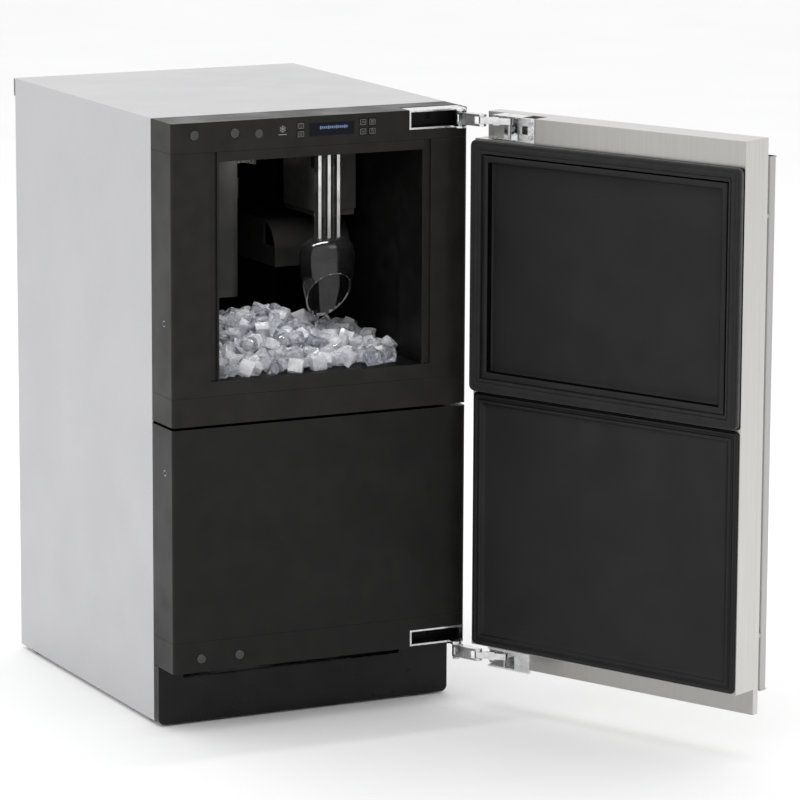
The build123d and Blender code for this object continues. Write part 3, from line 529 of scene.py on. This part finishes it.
def recolour(mesh, kind, chosen):
    """Give the faces of a mesh that chosen(centre, normal) accepts another material."""
    mesh.materials.append(MATERIALS[kind])
    for face in mesh.polygons:
        if chosen(face.center, face.normal):
            face.material_index = len(mesh.materials) - 1


def dark_insides():
    """The bin's mouth is lined in the bin's plastic, and the hinge housings are black inside."""
    low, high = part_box("bin_liner")
    mouth_low, mouth_high = low.z + 6 * MM, high.z - 4 * MM
    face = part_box("front_frame")[0].y

    def in_mouth(centre, normal):
        inside = abs(centre.x) < MOUTH_HALF + 1 * MM and mouth_low < centre.z < mouth_high
        return inside and abs(normal.y) < 0.3 and centre.y > face + 2 * MM

    recolour(NODES["front_frame"].data, "bin_plastic", in_mouth)
    for name in ("hinge_frame_upper", "hinge_frame_lower"):
        box_low, box_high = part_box(name)

        def in_pocket(centre, normal, box_low=box_low, box_high=box_high):
            inner = box_low.x + 1 * MM < centre.x < box_high.x - 1 * MM
            deep = centre.y > face + 1.5 * MM and centre.z > box_low.z + 1 * MM
            return inner and deep and centre.z < box_high.z - 1 * MM

        recolour(NODES[name].data, "black_enamel", in_pocket)


def panel_back():
    """The steel that faces the bin takes a darker copy of the stainless than the door's front and edges, as
    painted shade.
    """
    toward_bin = DOOR.to_3x3() @ Vector((0, 1, 0))
    for name in ("door_panel", "door_wrap"):
        recolour(NODES[name].data, "stainless_painted_shade", lambda centre, normal: normal.dot(toward_bin) > 0.9)


# Mesh tools

def piece(name, points, faces, kind, body, smooth=False, at=None):
    """A new mesh that rides on a CAD body. The points are in the row frame, or in the matrix at."""
    mesh = bpy.data.meshes.new(name)
    if at is not None:
        points = [at @ Vector(p) for p in points]
    mesh.from_pydata([tuple(p) for p in points], [], faces)
    tidy = bmesh.new()
    tidy.from_mesh(mesh)
    bmesh.ops.recalc_face_normals(tidy, faces=tidy.faces)
    tidy.to_mesh(mesh)
    tidy.free()
    mesh.polygons.foreach_set("use_smooth", [smooth] * len(mesh.polygons))
    obj = bpy.data.objects.new(name, mesh)
    bpy.context.scene.collection.objects.link(obj)
    mesh.materials.append(MATERIALS[kind])
    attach(obj, body)
    return obj


class Build:
    """Points and faces of one mesh, gathered from several closed shapes."""

    def __init__(self):
        self.points = []
        self.faces = []

    def add(self, points, faces):
        start = len(self.points)
        self.points += [tuple(p) for p in points]
        self.faces += [tuple(start + i for i in face) for face in faces]

    def box(self, low, high):
        points = [(x, y, z) for x in (low[0], high[0]) for y in (low[1], high[1]) for z in (low[2], high[2])]
        self.add(points, [(0, 1, 3, 2), (4, 6, 7, 5), (0, 4, 5, 1), (2, 3, 7, 6), (0, 2, 6, 4), (1, 5, 7, 3)])

    def turned(self, profile, centre, axis, steps=28):
        """A solid of revolution from (radius, height) points, along axis from centre."""
        turn = Vector((0, 0, 1)).rotation_difference(Vector(axis)).to_matrix()
        points = []
        for radius, height in profile:
            for i in range(steps):
                a = 2 * math.pi * i / steps
                p = turn @ Vector((radius * math.cos(a), radius * math.sin(a), height))
                points.append(Vector(centre) + p)
        faces = [tuple(reversed(range(steps)))]
        for row in range(len(profile) - 1):
            for i in range(steps):
                j = (i + 1) % steps
                a, b = row * steps, (row + 1) * steps
                faces.append((a + i, a + j, b + j, b + i))
        last = (len(profile) - 1) * steps
        faces.append(tuple(last + i for i in range(steps)))
        self.add(points, faces)

    def stroke(self, line, width, y_front, y_back, closed=False):
        """A flat printed line along (x, z) points, standing between two depths."""
        count = len(line)
        for i in range(count if closed else count - 1):
            a, b = Vector(line[i]), Vector(line[(i + 1) % count])
            along = (b - a).normalized() * width / 2
            side = Vector((-along.y, along.x))
            corners = [a - along + side, b + along + side, b + along - side, a - along - side]
            points = [(c.x, y, c.y) for y in (y_front, y_back) for c in corners]
            sides = [(0, 4, 5, 1), (1, 5, 6, 2), (2, 6, 7, 3), (3, 7, 4, 0)]
            self.add(points, [(0, 1, 2, 3), (7, 6, 5, 4)] + sides)

    def make(self, name, kind, body, smooth=False, at=None):
        return piece(name, self.points, self.faces, kind, body, smooth, at)


def millimetres(profile):
    return [(a * MM, b * MM) for a, b in profile]


def rounded_loop(s0, s1, z0, z1, inset, radius, steps):
    """A rectangle's outline, set in by inset, with its corners rounded about fixed centres."""
    r = max(radius - inset, 1.2 * MM)
    loop = []
    corners = ((s1, z1, -1, -1, 0), (s0, z1, 1, -1, 90), (s0, z0, 1, 1, 180), (s1, z0, -1, 1, 270))
    for s, z, ds, dz, start in corners:
        cs = s + ds * (inset + r)
        cz = z + dz * (inset + r)
        for i in range(steps + 1):
            a = math.radians(start + 90 * i / steps)
            loop.append((cs + r * math.cos(a), cz + r * math.sin(a)))
    return loop


def door_ring(build, span, profile, radius, filled, steps=7):
    """Sweep (inset, deep) points round a rectangle on the door. filled closes the middle too."""
    loops = [rounded_loop(*span, inset, radius, steps) for inset, _ in profile]
    count = len(loops[0])
    points = [(-s, -deep, z) for (_, deep), loop in zip(profile, loops) for s, z in loop]
    faces = []
    rows = len(profile)
    for row in range(rows - 1 if filled else rows):
        a = row * count
        b = (row + 1) % rows * count
        for i in range(count):
            j = (i + 1) % count
            faces.append((a + i, a + j, b + j, b + i))
    if filled:
        faces.append(tuple(range(count)))
        faces.append(tuple((rows - 1) * count + i for i in reversed(range(count))))
    build.add(points, faces)


def door_extent(node):
    """Lowest and highest (across, deep, z) of a CAD node on the door."""
    back = DOOR.inverted()
    local = np.array([back @ v.co for v in NODES[node].data.vertices])
    low, high = local.min(0), local.max(0)
    return (-high[0], -high[1], low[2]), (-low[0], -low[1], high[2])


# Door

def door_gasket():
    """Magnetic gasket: a soft hollow bead with two sealing lips and a plain base."""
    low, high = door_extent("door_gasket")
    base, tip = high[1], low[1]
    rise = base - tip
    shape = [
        (0.0, 0.0), (0.0, 0.6), (0.4, 0.82), (1.2, 0.95), (2.6, 1.0), (4.6, 0.985), (5.4, 0.93), (5.8, 0.93),
        (6.6, 0.98), (12.2, 0.97), (13.2, 0.9), (13.6, 0.78), (14.1, 0.76), (14.6, 0.86), (15.6, 0.94),
        (17.2, 0.93), (18.6, 0.8), (19.4, 0.5), (19.8, 0.0),
    ]
    profile = [(inset * MM, base - share * rise) for inset, share in shape]
    build = Build()
    door_ring(build, (low[0], high[0], low[2], high[2]), profile, GASKET_CORNER, False)
    obj = build.make("door_gasket_bead", "gasket_rubber", "door", True, DOOR)
    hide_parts("door_gasket")


def smooth_bead(inset, wide, base, proud, steps=8):
    """(inset, deep) points of a half-round bead on a sheet at depth base."""
    points = []
    for i in range(steps + 1):
        a = math.pi * i / steps
        points.append((inset + wide / 2 - wide / 2 * math.cos(a), base - proud * math.sin(a) ** 0.7))
    return points


def door_liner():
    """Vacuum-formed liner: an upper field inside a dyke, a parting step, and a beaded lower field."""
    low, high = door_extent("door_liner")
    tip, front = low[1], high[1]
    sheet = front - LINER_SHEET
    split = door_extent("door_gasket")[0][2]
    across = (low[0], high[0])
    field = sheet + 2 * MM
    upper = [(0, front), (0, sheet + 1 * MM), (1 * MM, sheet), (20.2 * MM, sheet)]
    upper += [(20.8 * MM, tip + 1.6 * MM), (21.4 * MM, tip + 0.5 * MM), (22.6 * MM, tip), (28.4 * MM, tip)]
    upper += [(29.6 * MM, tip + 0.4 * MM), (30.4 * MM, tip + 1.5 * MM), (31.4 * MM, field - 0.8 * MM)]
    upper += [(32.2 * MM, field), (36 * MM, field), (LINER_MIDDLE, field)]
    build = Build()
    door_ring(build, (*across, split - 1.0 * MM, high[2]), upper, LINER_UPPER_CORNER, True)
    lower = [(0, front), (0, sheet + 1.2 * MM), (1.2 * MM, sheet)]
    lower += smooth_bead(3 * MM, 4 * MM, sheet, 1.2 * MM)
    lower += smooth_bead(10 * MM, 6 * MM, sheet, 2.2 * MM)
    lower += [(17.5 * MM, sheet + 0.7 * MM), (24 * MM, sheet + 0.9 * MM), (LINER_MIDDLE, sheet + 0.9 * MM)]
    span = (across[0] + LINER_LOWER_INSET, across[1] - LINER_LOWER_INSET, low[2], split - 2.2 * MM)
    door_ring(build, span, lower, LINER_LOWER_CORNER, True)
    obj = build.make("door_inner_liner", "liner_plastic", "door", True, DOOR)
    # Painted shade: the steep wall round the upper field takes the near-black step material.
    obj.data.materials.append(MATERIALS["liner_step_painted_shade"])
    back = DOOR.inverted()
    for face in obj.data.polygons:
        deep = -(back @ face.center).y
        steep = abs((back.to_3x3() @ face.normal).y) < 0.6
        if steep and tip + 2 * MM < deep < field and (back @ face.center).z > split + 25 * MM:
            face.material_index = 1
    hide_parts("door_liner")


def handle_trim():
    """A cap at each end of the handle, and a collar where each post meets the door."""
    low, high = door_extent("handle_bar")
    build = Build()
    cap, proud = 2.2 * MM, 0.25 * MM
    for z0, z1 in ((low[2], low[2] + cap), (high[2] - cap, high[2])):
        corner = (-high[0] - proud, -high[1] - proud, z0)
        build.box(corner, (-low[0] + proud, -low[1] + proud, z1))
    caps = build.make("handle_end_caps", "stainless_handle", "door", False, DOOR)
    soften(caps, 0.6 * MM)
    face = door_extent("door_panel")[1][1]
    middle = -(low[0] + high[0]) / 2
    posts_low, posts_high = door_extent("handle_standoffs")
    for end, z in (("low", posts_low[2] + STANDOFF_RADIUS), ("high", posts_high[2] - STANDOFF_RADIUS)):
        collar = Build()
        shape = millimetres([(5.4, 0), (7.6, 0), (7.6, 1.2), (6.8, 2.0), (5.4, 2.2)])
        collar.turned(shape, (middle, -face, z), (0, -1, 0))
        collar.make("standoff_collar_" + end, "stainless", "door", True, DOOR)


def soften(obj, width, segments=2):
    bevel = obj.modifiers.new("edges", "BEVEL")
    bevel.width = width
    bevel.segments = segments
    bevel.limit_method = "ANGLE"


# Ice

def ice_surface(x, y):
    """Height of the stored ice: a crest just inside the mouth, falling to the lip and to the rear."""
    across = [point[0] * MM for point in ICE_CREST]
    crest = np.interp(x, across, [point[1] * MM for point in ICE_CREST])
    if y > ICE_CREST_AT:
        return crest - ICE_FALL * (y - ICE_CREST_AT)
    return np.interp(y, (ICE_LIP[0], ICE_CREST_AT), (ICE_LIP[1], crest))


def ice_places(rng):
    """Well-spread points inside the heap and on the sill, found by throwing darts."""
    low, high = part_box("ice_heap")
    corridor_low, corridor_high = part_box("scoop")
    bin_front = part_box("outer_case")[0].y
    sill = low.z + ICE_SILL_RISE
    margin = 0.5 * ICE_SIZE
    kept = np.empty((ICE_MOST, 3))
    count = 0
    for _ in range(ICE_DARTS):
        x = rng.uniform(low.x + margin, high.x - margin)
        y = rng.uniform(low.y + 0.8 * margin, high.y - margin)
        z = rng.uniform(low.z + margin, low.z + ICE_DEEP)
        on_sill = y < bin_front + ICE_SILL_DEEP
        sill_layer = sill + 0.7 * margin < z < sill + 1.3 * margin
        if on_sill and not (-MOUTH_HALF + margin < x < ICE_SILL_END and sill_layer):
            continue
        if not on_sill and z > ice_surface(x, y) - 0.75 * margin:
            continue
        in_way = corridor_low.x - SCOOP_AISLE < x < corridor_high.x + SCOOP_AISLE and y < SCOOP_AISLE_END
        if in_way and z > corridor_low.z - 1.35 * margin:
            continue
        place = np.array((x, y, z))
        if count and np.min(np.sum((kept[:count] - place) ** 2, axis=1)) < ICE_SPACING ** 2:
            continue
        kept[count] = place
        count += 1
    return kept[:count]


def cube_shell():
    """Points on a unit cube, gridded, and its faces."""
    shell = bmesh.new()
    bmesh.ops.create_cube(shell, size=2)
    bmesh.ops.subdivide_edges(shell, edges=shell.edges, cuts=ICE_CUTS - 1, use_grid_fill=True)
    points = np.array([v.co for v in shell.verts])
    faces = [tuple(v.index for v in f.verts) for f in shell.faces]
    shell.free()
    return points, faces


def ice_cubes():
    """Loose clear cubes, each melted and chipped its own way."""
    rng = np.random.default_rng(ICE_SEED)
    unit, faces = cube_shell()
    build = Build()
    frost = []
    for place in ice_places(rng):
        shares = [rng.uniform(0.86, 1.12), rng.uniform(0.82, 1.08), rng.uniform(0.6, 0.98)]
        size = 0.5 * ICE_SIZE * np.array(shares)
        power = rng.uniform(10.0, 24.0)
        norm = np.sum(np.abs(unit) ** power, axis=1) ** (1 / power)
        shape = unit / norm[:, None]
        for cut in rng.uniform(0.8, 1.3, 3):
            chip = rng.normal(0, 1, 3)
            chip /= np.linalg.norm(chip)
            over = np.maximum(shape @ chip - cut, 0)
            shape = shape - over[:, None] * chip
        waves = rng.uniform(1.5, 3.5, (3, 3))
        phase = rng.uniform(0, 6.28, 3)
        shape = shape * (1 + 0.022 * np.sin(shape @ waves + phase).sum(axis=1))[:, None]
        turn = random_turn(rng)
        build.add((shape * size) @ turn.T + place, faces)
        frost += [rng.uniform(0.05, 0.75)] * len(unit)
    obj = build.make("ice_cubes", "ice", "cabinet", True)
    obj.data.set_sharp_from_angle(angle=math.radians(24))
    attribute = obj.data.attributes.new("frost", "FLOAT", "POINT")
    attribute.data.foreach_set("value", np.array(frost, np.float32))
    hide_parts("ice_heap")


def random_turn(rng):
    """A rotation matrix, even over all directions."""
    q = rng.normal(0, 1, 4)
    w, x, y, z = q / np.linalg.norm(q)
    return np.array([
        [1 - 2 * (y * y + z * z), 2 * (x * y - z * w), 2 * (x * z + y * w)],
        [2 * (x * y + z * w), 1 - 2 * (x * x + z * z), 2 * (y * z - x * w)],
        [2 * (x * z - y * w), 2 * (y * z + x * w), 1 - 2 * (x * x + y * y)],
    ])


# Scoop

def bowl_skin(bowl, middle, half, tip, shoulder):
    """The skin of the scoop's bowl, egg-shaped from the tip up to the shoulder."""
    outline = interpolate_bezier((0.46, 0, 0), (0.72, 0.25, 0), (1.5, 0.98, 0), (0.46, 1, 0), 30)
    rings = []
    for share, rise, _ in outline:
        z = tip + rise * (shoulder - tip)
        back = middle.y + half.y * 0.5 * (1 - share) * (1 - rise)
        ring = []
        for i in range(SCOOP_STEPS):
            a = 2 * math.pi * i / SCOOP_STEPS
            x = middle.x + half.x * share * math.cos(a)
            ring.append(bowl.verts.new((x, back + half.y * share * math.sin(a), z)))
        rings.append(ring)
    for below, above in zip(rings, rings[1:]):
        for i in range(SCOOP_STEPS):
            j = (i + 1) % SCOOP_STEPS
            bowl.faces.new((below[i], below[j], above[j], above[i]))
    bowl.faces.new(rings[-1])


def scoop_body():
    """Clear scoop: a thin bowl cut on the slant, and a flat handle with three ribs."""
    low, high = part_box("scoop")
    middle = (low + high) / 2
    half = (high - low) / 2
    shoulder = high.z - SCOOP_HANDLE_TALL
    tip = shoulder - SCOOP_BOWL_TALL
    bowl = bmesh.new()
    bowl_skin(bowl, middle, half * SCOOP_FLARE, tip, shoulder)
    bmesh.ops.recalc_face_normals(bowl, faces=bowl.faces)
    opening = Vector((0, -SCOOP_OPENING_TALL, -2 * half.y)).normalized()
    edge = Vector((middle.x, high.y, tip))
    everything = bowl.verts[:] + bowl.edges[:] + bowl.faces[:]
    bmesh.ops.bisect_plane(bowl, geom=everything, plane_co=edge, plane_no=opening, clear_outer=True)
    bmesh.ops.solidify(bowl, geom=bowl.faces[:], thickness=SCOOP_WALL)
    bowl.verts.index_update()
    build = Build()
    build.add([v.co.copy() for v in bowl.verts], [tuple(v.index for v in f.verts) for f in bowl.faces])
    bowl.free()
    wide, deep = SCOOP_HANDLE_HALF
    foot = shoulder - SCOOP_BOWL_OVERLAP
    rear = middle.y + deep
    build.box((middle.x - wide, rear - SCOOP_HANDLE_PLATE, foot), (middle.x + wide, rear, high.z))
    rib = SCOOP_RIB_HALF
    for x in (middle.x - wide + rib, middle.x, middle.x + wide - rib):
        build.box((x - rib, middle.y - deep, foot), (x + rib, rear - 1 * MM, high.z))
    obj = build.make("scoop_body", "clear_plastic", "scoop", True)
    obj.data.set_sharp_from_angle(angle=math.radians(35))

    # Painted highlight: the rib fronts and the rim of the opening take the lighter copy of the clear plastic.
    def painted_shine_faces(centre, normal):
        rib_front = normal.y < -0.95 and abs(centre.y - middle.y + deep) < 0.5 * MM
        rim = centre.z < shoulder and abs((centre - edge).dot(opening)) < 0.5 * MM
        return rib_front or rim

    recolour(obj.data, "clear_painted_highlight", painted_shine_faces)
    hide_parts("scoop")


# Printed signs and the display

def arc(cx, cz, radius, start, end, steps=14):
    turns = [math.radians(start + (end - start) * i / steps) for i in range(steps + 1)]
    return [(cx + radius * math.cos(a), cz + radius * math.sin(a)) for a in turns]


def key_signs():
    """A thin outline and a plain sign on each key."""
    r = KEY_SIGN_RADIUS
    line = KEY_LINE
    for name in [n for n in NODES if n.startswith("key_")]:
        low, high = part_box(name)
        x, z = (low.x + high.x) / 2, (low.z + high.z) / 2
        front, back = low.y - PRINT_FRONT, low.y + PRINT_BACK
        build = Build()
        w = (high.x - low.x) / 2 - KEY_MARGIN
        h = (high.z - low.z) / 2 - KEY_MARGIN
        outline = [(x - w, z - h), (x + w, z - h), (x + w, z + h), (x - w, z + h)]
        build.stroke(outline, line, front, back, True)
        if name == "key_power":
            build.stroke(arc(x, z, r, 120, 420), line, front, back)
            build.stroke([(x, z + 0.5 * r), (x, z + 1.3 * r)], line, front, back)
        elif name == "key_light":
            build.stroke(arc(x, z, 0.5 * r, 0, 360), line, front, back)
            for i in range(8):
                a = math.radians(45 * i)
                ray = [(x + k * r * math.cos(a), z + k * r * math.sin(a)) for k in (0.85, 1.2)]
                build.stroke(ray, line, front, back)
        elif name in ("key_up", "key_down"):
            s = 1 if name == "key_up" else -1
            chevron = [(x - r, z - s * 0.6 * r), (x, z + s * 0.7 * r), (x + r, z - s * 0.6 * r)]
            build.stroke(chevron, line, front, back)
        elif name == "key_menu":
            for k in (-0.8, 0, 0.8):
                build.stroke([(x - r, z + k * r), (x + r, z + k * r)], line, front, back)
        else:
            drop = arc(x, z - 0.3 * r, 0.8 * r, 150, 390) + [(x, z + 1.2 * r)]
            build.stroke(drop, line, front, back, True)
        build.make(name + "_sign", "print_grey_painted_glow", name)


def display_bars():
    """A lit level bar of plain segments behind the window."""
    low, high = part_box("display_window")
    front = low.y - 0.1 * MM
    z = (low.z + high.z) / 2 + 2.2 * MM
    build = Build()
    for i in range(DISPLAY_SEGMENTS):
        half = 1.7 * MM if i % 4 else 2.3 * MM
        x = low.x + DISPLAY_START + i * DISPLAY_PITCH
        build.box((x, front, z - half), (x + 2.0 * MM, low.y + 0.3 * MM, z + half))
    build.make("display_segments", "lit_blue", "cabinet")
    frame_line = Build()
    edge = 0.6 * MM
    outline = [(low.x - edge, low.z - edge), (high.x + edge, low.z - edge),
               (high.x + edge, high.z + edge), (low.x - edge, high.z + edge)]
    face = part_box("control_strip")[0].y
    frame_line.stroke(outline, 0.5 * MM, face - 0.15 * MM, face + 0.5 * MM, True)
    frame_line.make("display_bezel", "black_moulding", "cabinet")


def snow_mark():
    """A plain six-armed snow sign, with a short line under it."""
    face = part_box("control_strip")[0].y
    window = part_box("display_window")
    x = window[0].x - 41 * MM
    z = (window[0].z + window[1].z) / 2 + 3.2 * MM
    front, back = face - PRINT_FRONT, face + PRINT_BACK
    centre = Vector((x, z))
    build = Build()
    for i in range(6):
        a = math.radians(60 * i + 30)
        out = Vector((math.cos(a), math.sin(a)))
        build.stroke([centre, centre + 4.6 * MM * out], 0.7 * MM, front, back)
        for side in (-50, 50):
            b = a + math.radians(side)
            barb = Vector((math.cos(b), math.sin(b)))
            root = centre + 2.6 * MM * out
            build.stroke([root, root + 1.7 * MM * barb], 0.5 * MM, front, back)
    build.stroke([(x - 6 * MM, z - 7.6 * MM), (x + 6 * MM, z - 7.6 * MM)], 0.8 * MM, front, back)
    build.make("snow_sign", "print_grey_painted_glow", "cabinet")


# Fasteners and small hardware

def cross_screw(build, centre, axis, radius, height):
    """A domed screw head with a cross recess, standing on a face."""
    axis = Vector(axis).normalized()
    turn = Vector((0, 0, 1)).rotation_difference(axis).to_matrix()
    steps = 24
    arm, half = 0.62 * radius, 0.16 * radius
    rows = [(1.0, 0.0), (1.0, 0.35), (0.92, 0.72), (0.74, 0.95)]
    points = []
    for share, lift in rows:
        for i in range(steps):
            a = 2 * math.pi * i / steps
            points.append((share * radius * math.cos(a), share * radius * math.sin(a), lift * height))
    cross = [(arm, -half), (arm, half), (half, half), (half, arm), (-half, arm), (-half, half),
             (-arm, half), (-arm, -half), (-half, -half), (-half, -arm), (half, -arm), (half, -half)]
    top = len(points)
    points += [(x, y, height) for x, y in cross]
    points += [(0.75 * x, 0.75 * y, 0.25 * height) for x, y in cross]
    faces = [tuple(reversed(range(steps)))]
    for row in range(len(rows) - 1):
        for i in range(steps):
            j = (i + 1) % steps
            a, b = row * steps, (row + 1) * steps
            faces.append((a + i, a + j, b + j, b + i))
    last = (len(rows) - 1) * steps
    for i in range(steps):
        j = (i + 1) % steps
        near = top + i // 2
        far = top + j // 2
        if near == far:
            faces.append((last + i, last + j, near))
        else:
            faces.append((last + i, last + j, far, near))
    corners = len(cross)
    floor = top + corners
    for i in range(corners):
        j = (i + 1) % corners
        faces.append((top + i, top + j, floor + j, floor + i))
    faces.append(tuple(floor + i for i in range(corners)))
    build.add([Vector(centre) + turn @ Vector(p) for p in points], faces)


def back_screws():
    low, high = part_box("back_panel")
    build = Build()
    edge = 7 * MM
    end = 25 * MM
    for i in range(BACK_SCREW_ROWS):
        z = low.z + end + i * (high.z - low.z - 2 * end) / (BACK_SCREW_ROWS - 1)
        for x in (low.x + edge, high.x - edge):
            cross_screw(build, (x, high.y, z), (0, 1, 0), *BACK_SCREW)
    for x in (-0.12, 0, 0.12):
        cross_screw(build, (x, high.y, low.z + edge), (0, 1, 0), *BACK_SCREW)
    build.make("back_panel_screws", "zinc", "cabinet", True)


def side_screw_heads():
    """Oval heads in the side of the front mouldings."""
    low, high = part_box("frame_screws")
    build = Build()
    y = (low.y + high.y) / 2
    for z in (low.z + SCREW_RADIUS, high.z - SCREW_RADIUS):
        for side in (-1, 1):
            cross_screw(build, (side * (high.x - 0.05 * MM), y, z), (side, 0, 0), 3.4 * MM, 0.5 * MM)
    build.make("side_screw_heads", "black_enamel", "cabinet", True)


def louvre_hoods():
    """Pressed hoods over the back panel's vents."""
    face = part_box("back_panel")[1].y
    build = Build()
    steps = 7
    proud, tall, sheet = 4.2 * MM, 9 * MM, 0.9 * MM
    for row in range(LOUVRE_ROWS):
        z0 = LOUVRE_LOW + row * LOUVRE_PITCH + 1 * MM
        outer = []
        for i in range(steps):
            a = math.radians(90 * i / steps)
            outer.append((face + proud * math.cos(a) ** 0.8, z0 + tall * math.sin(a)))
        outer.append((face, z0 + tall))
        inner = [(max(y - sheet, face), max(z - sheet, z0)) for y, z in outer]
        loop = outer + inner[::-1]
        count = len(loop)
        for centre in LOUVRE_CENTRES:
            x0, x1 = centre - LOUVRE_HALF, centre + LOUVRE_HALF
            points = [(x, y, z) for x in (x0, x1) for y, z in loop]
            faces = [(i, (i + 1) % count, count + (i + 1) % count, count + i) for i in range(count)]
            for i in range(steps):
                a, b = i, i + 1
                c, d = count - 2 - i, count - 1 - i
                faces.append((a, b, c, d))
                faces.append((count + d, count + c, count + b, count + a))
            build.add(points, faces)
    build.make("louvre_hoods", "galvanised", "cabinet")


def hinge_details():
    """Screws in the hinge housings and domed ends on their first pivots."""
    for node in ("hinge_frame_upper", "hinge_frame_lower"):
        low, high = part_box(node)
        build = Build()
        z = (low.z + high.z) / 2
        for x in (low.x + 14 * MM, low.x + 44 * MM):
            cross_screw(build, (x, high.y - 2.5 * MM, z), (0, -1, 0), *HOUSING_SCREW)
        build.make(node + "_screws", "black_enamel", "cabinet", True)
    low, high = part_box("hinge_pins_frame")
    x, y = (low.x + high.x) / 2, (low.y + high.y) / 2
    dome = millimetres([(4.8, 0), (4.8, 0.25), (4.2, 0.7), (2.6, 1.0), (0.6, 1.1)])
    build = Build()
    build.turned(dome, (x, y, high.z), (0, 0, 1))
    build.turned(dome, (x, y, low.z), (0, 0, -1))
    build.make("pivot_rivets", "chrome", "cabinet", True)


def leg_treads():
    """Thread on each levelling stud above its nut, and a grip band round its pad."""
    thread = millimetres([(5.0, 0), (5.4, 0.1), (5.0, 0.2)])
    grip = millimetres([(15.9, 0.6), (16.0, 1.0), (16.0, 3.0), (15.7, 3.4)])
    for name in [n for n in NODES if n.startswith("leg_")]:
        low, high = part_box(name)
        x, y = (low.x + high.x) / 2, (low.y + high.y) / 2
        build = Build()
        for i in range(TREAD_RINGS):
            build.turned(thread, (x, y, low.z + TREAD_LOW + i * TREAD_PITCH), (0, 0, 1), 20)
        build.turned(grip, (x, y, low.z), (0, 0, 1), 36)
        build.make(name + "_tread", "gasket_rubber", name, True)


# Studio

def aim(obj, target):
    obj.rotation_euler = (Vector(target) - obj.location).to_track_quat("-Z", "Y").to_euler()


def softbox(name, place, target, size, power):
    data = bpy.data.lights.new(name, "AREA")
    data.shape = "RECTANGLE"
    data.size, data.size_y = size
    data.energy = power
    obj = bpy.data.objects.new(name, data)
    bpy.context.scene.collection.objects.link(obj)
    obj.location = place
    aim(obj, target)
    return obj


def studio():
    world = bpy.data.worlds.new("studio")
    bpy.context.scene.world = world
    world.use_nodes = True
    background = world.node_tree.nodes["Background"]
    background.inputs["Color"].default_value = (1, 1, 1, 1)
    background.inputs["Strength"].default_value = WORLD_LIGHT
    for row in SOFTBOXES:
        softbox(*row)
    low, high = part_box("bin_liner")
    place = (0, low.y + 0.01, high.z - 0.02)
    lamp = softbox("bin_light", place, (0, low.y + 0.05, low.z), BIN_LIGHT_SIZE, BIN_LIGHT_POWER)
    lamp.data.spread = BIN_LIGHT_SPREAD
    size = FLOOR_SIZE
    corners = [(-size, -size, 0), (size, -size, 0), (size, 2 * size, 0), (-size, 2 * size, 0)]
    mesh = bpy.data.meshes.new("floor")
    mesh.from_pydata(corners, [], [(0, 1, 2, 3)])
    floor = bpy.data.objects.new("floor", mesh)
    bpy.context.scene.collection.objects.link(floor)
    mesh.materials.append(floor_material())
    bpy.context.scene.view_settings.view_transform = "Standard"


def camera():
    data = bpy.data.cameras.new("camera")
    data.lens = CAMERA_LENS
    data.sensor_width = 36.0
    obj = bpy.data.objects.new("camera", data)
    bpy.context.scene.collection.objects.link(obj)
    yaw, pitch, roll = (math.radians(v) for v in (CAMERA_YAW, CAMERA_PITCH, CAMERA_ROLL))
    ahead = Vector((math.sin(yaw) * math.cos(pitch), math.cos(yaw) * math.cos(pitch), -math.sin(pitch)))
    right = Vector((math.cos(yaw), -math.sin(yaw), 0))
    up = right.cross(ahead)
    side = right * math.cos(roll) + up * math.sin(roll)
    top = up * math.cos(roll) - right * math.sin(roll)
    turn = Matrix((side, top, -ahead)).transposed().to_4x4()
    obj.matrix_world = Matrix.Translation(CAMERA_PLACE) @ turn
    data.clip_start, data.clip_end = 0.1, 100
    bpy.context.scene.camera = obj


camera()
dress_nodes()
dark_insides()
scoop_body()
panel_back()
door_gasket()
door_liner()
handle_trim()
ice_cubes()
key_signs()
display_bars()
snow_mark()
back_screws()
side_screw_heads()
louvre_hoods()
hinge_details()
leg_treads()
studio()
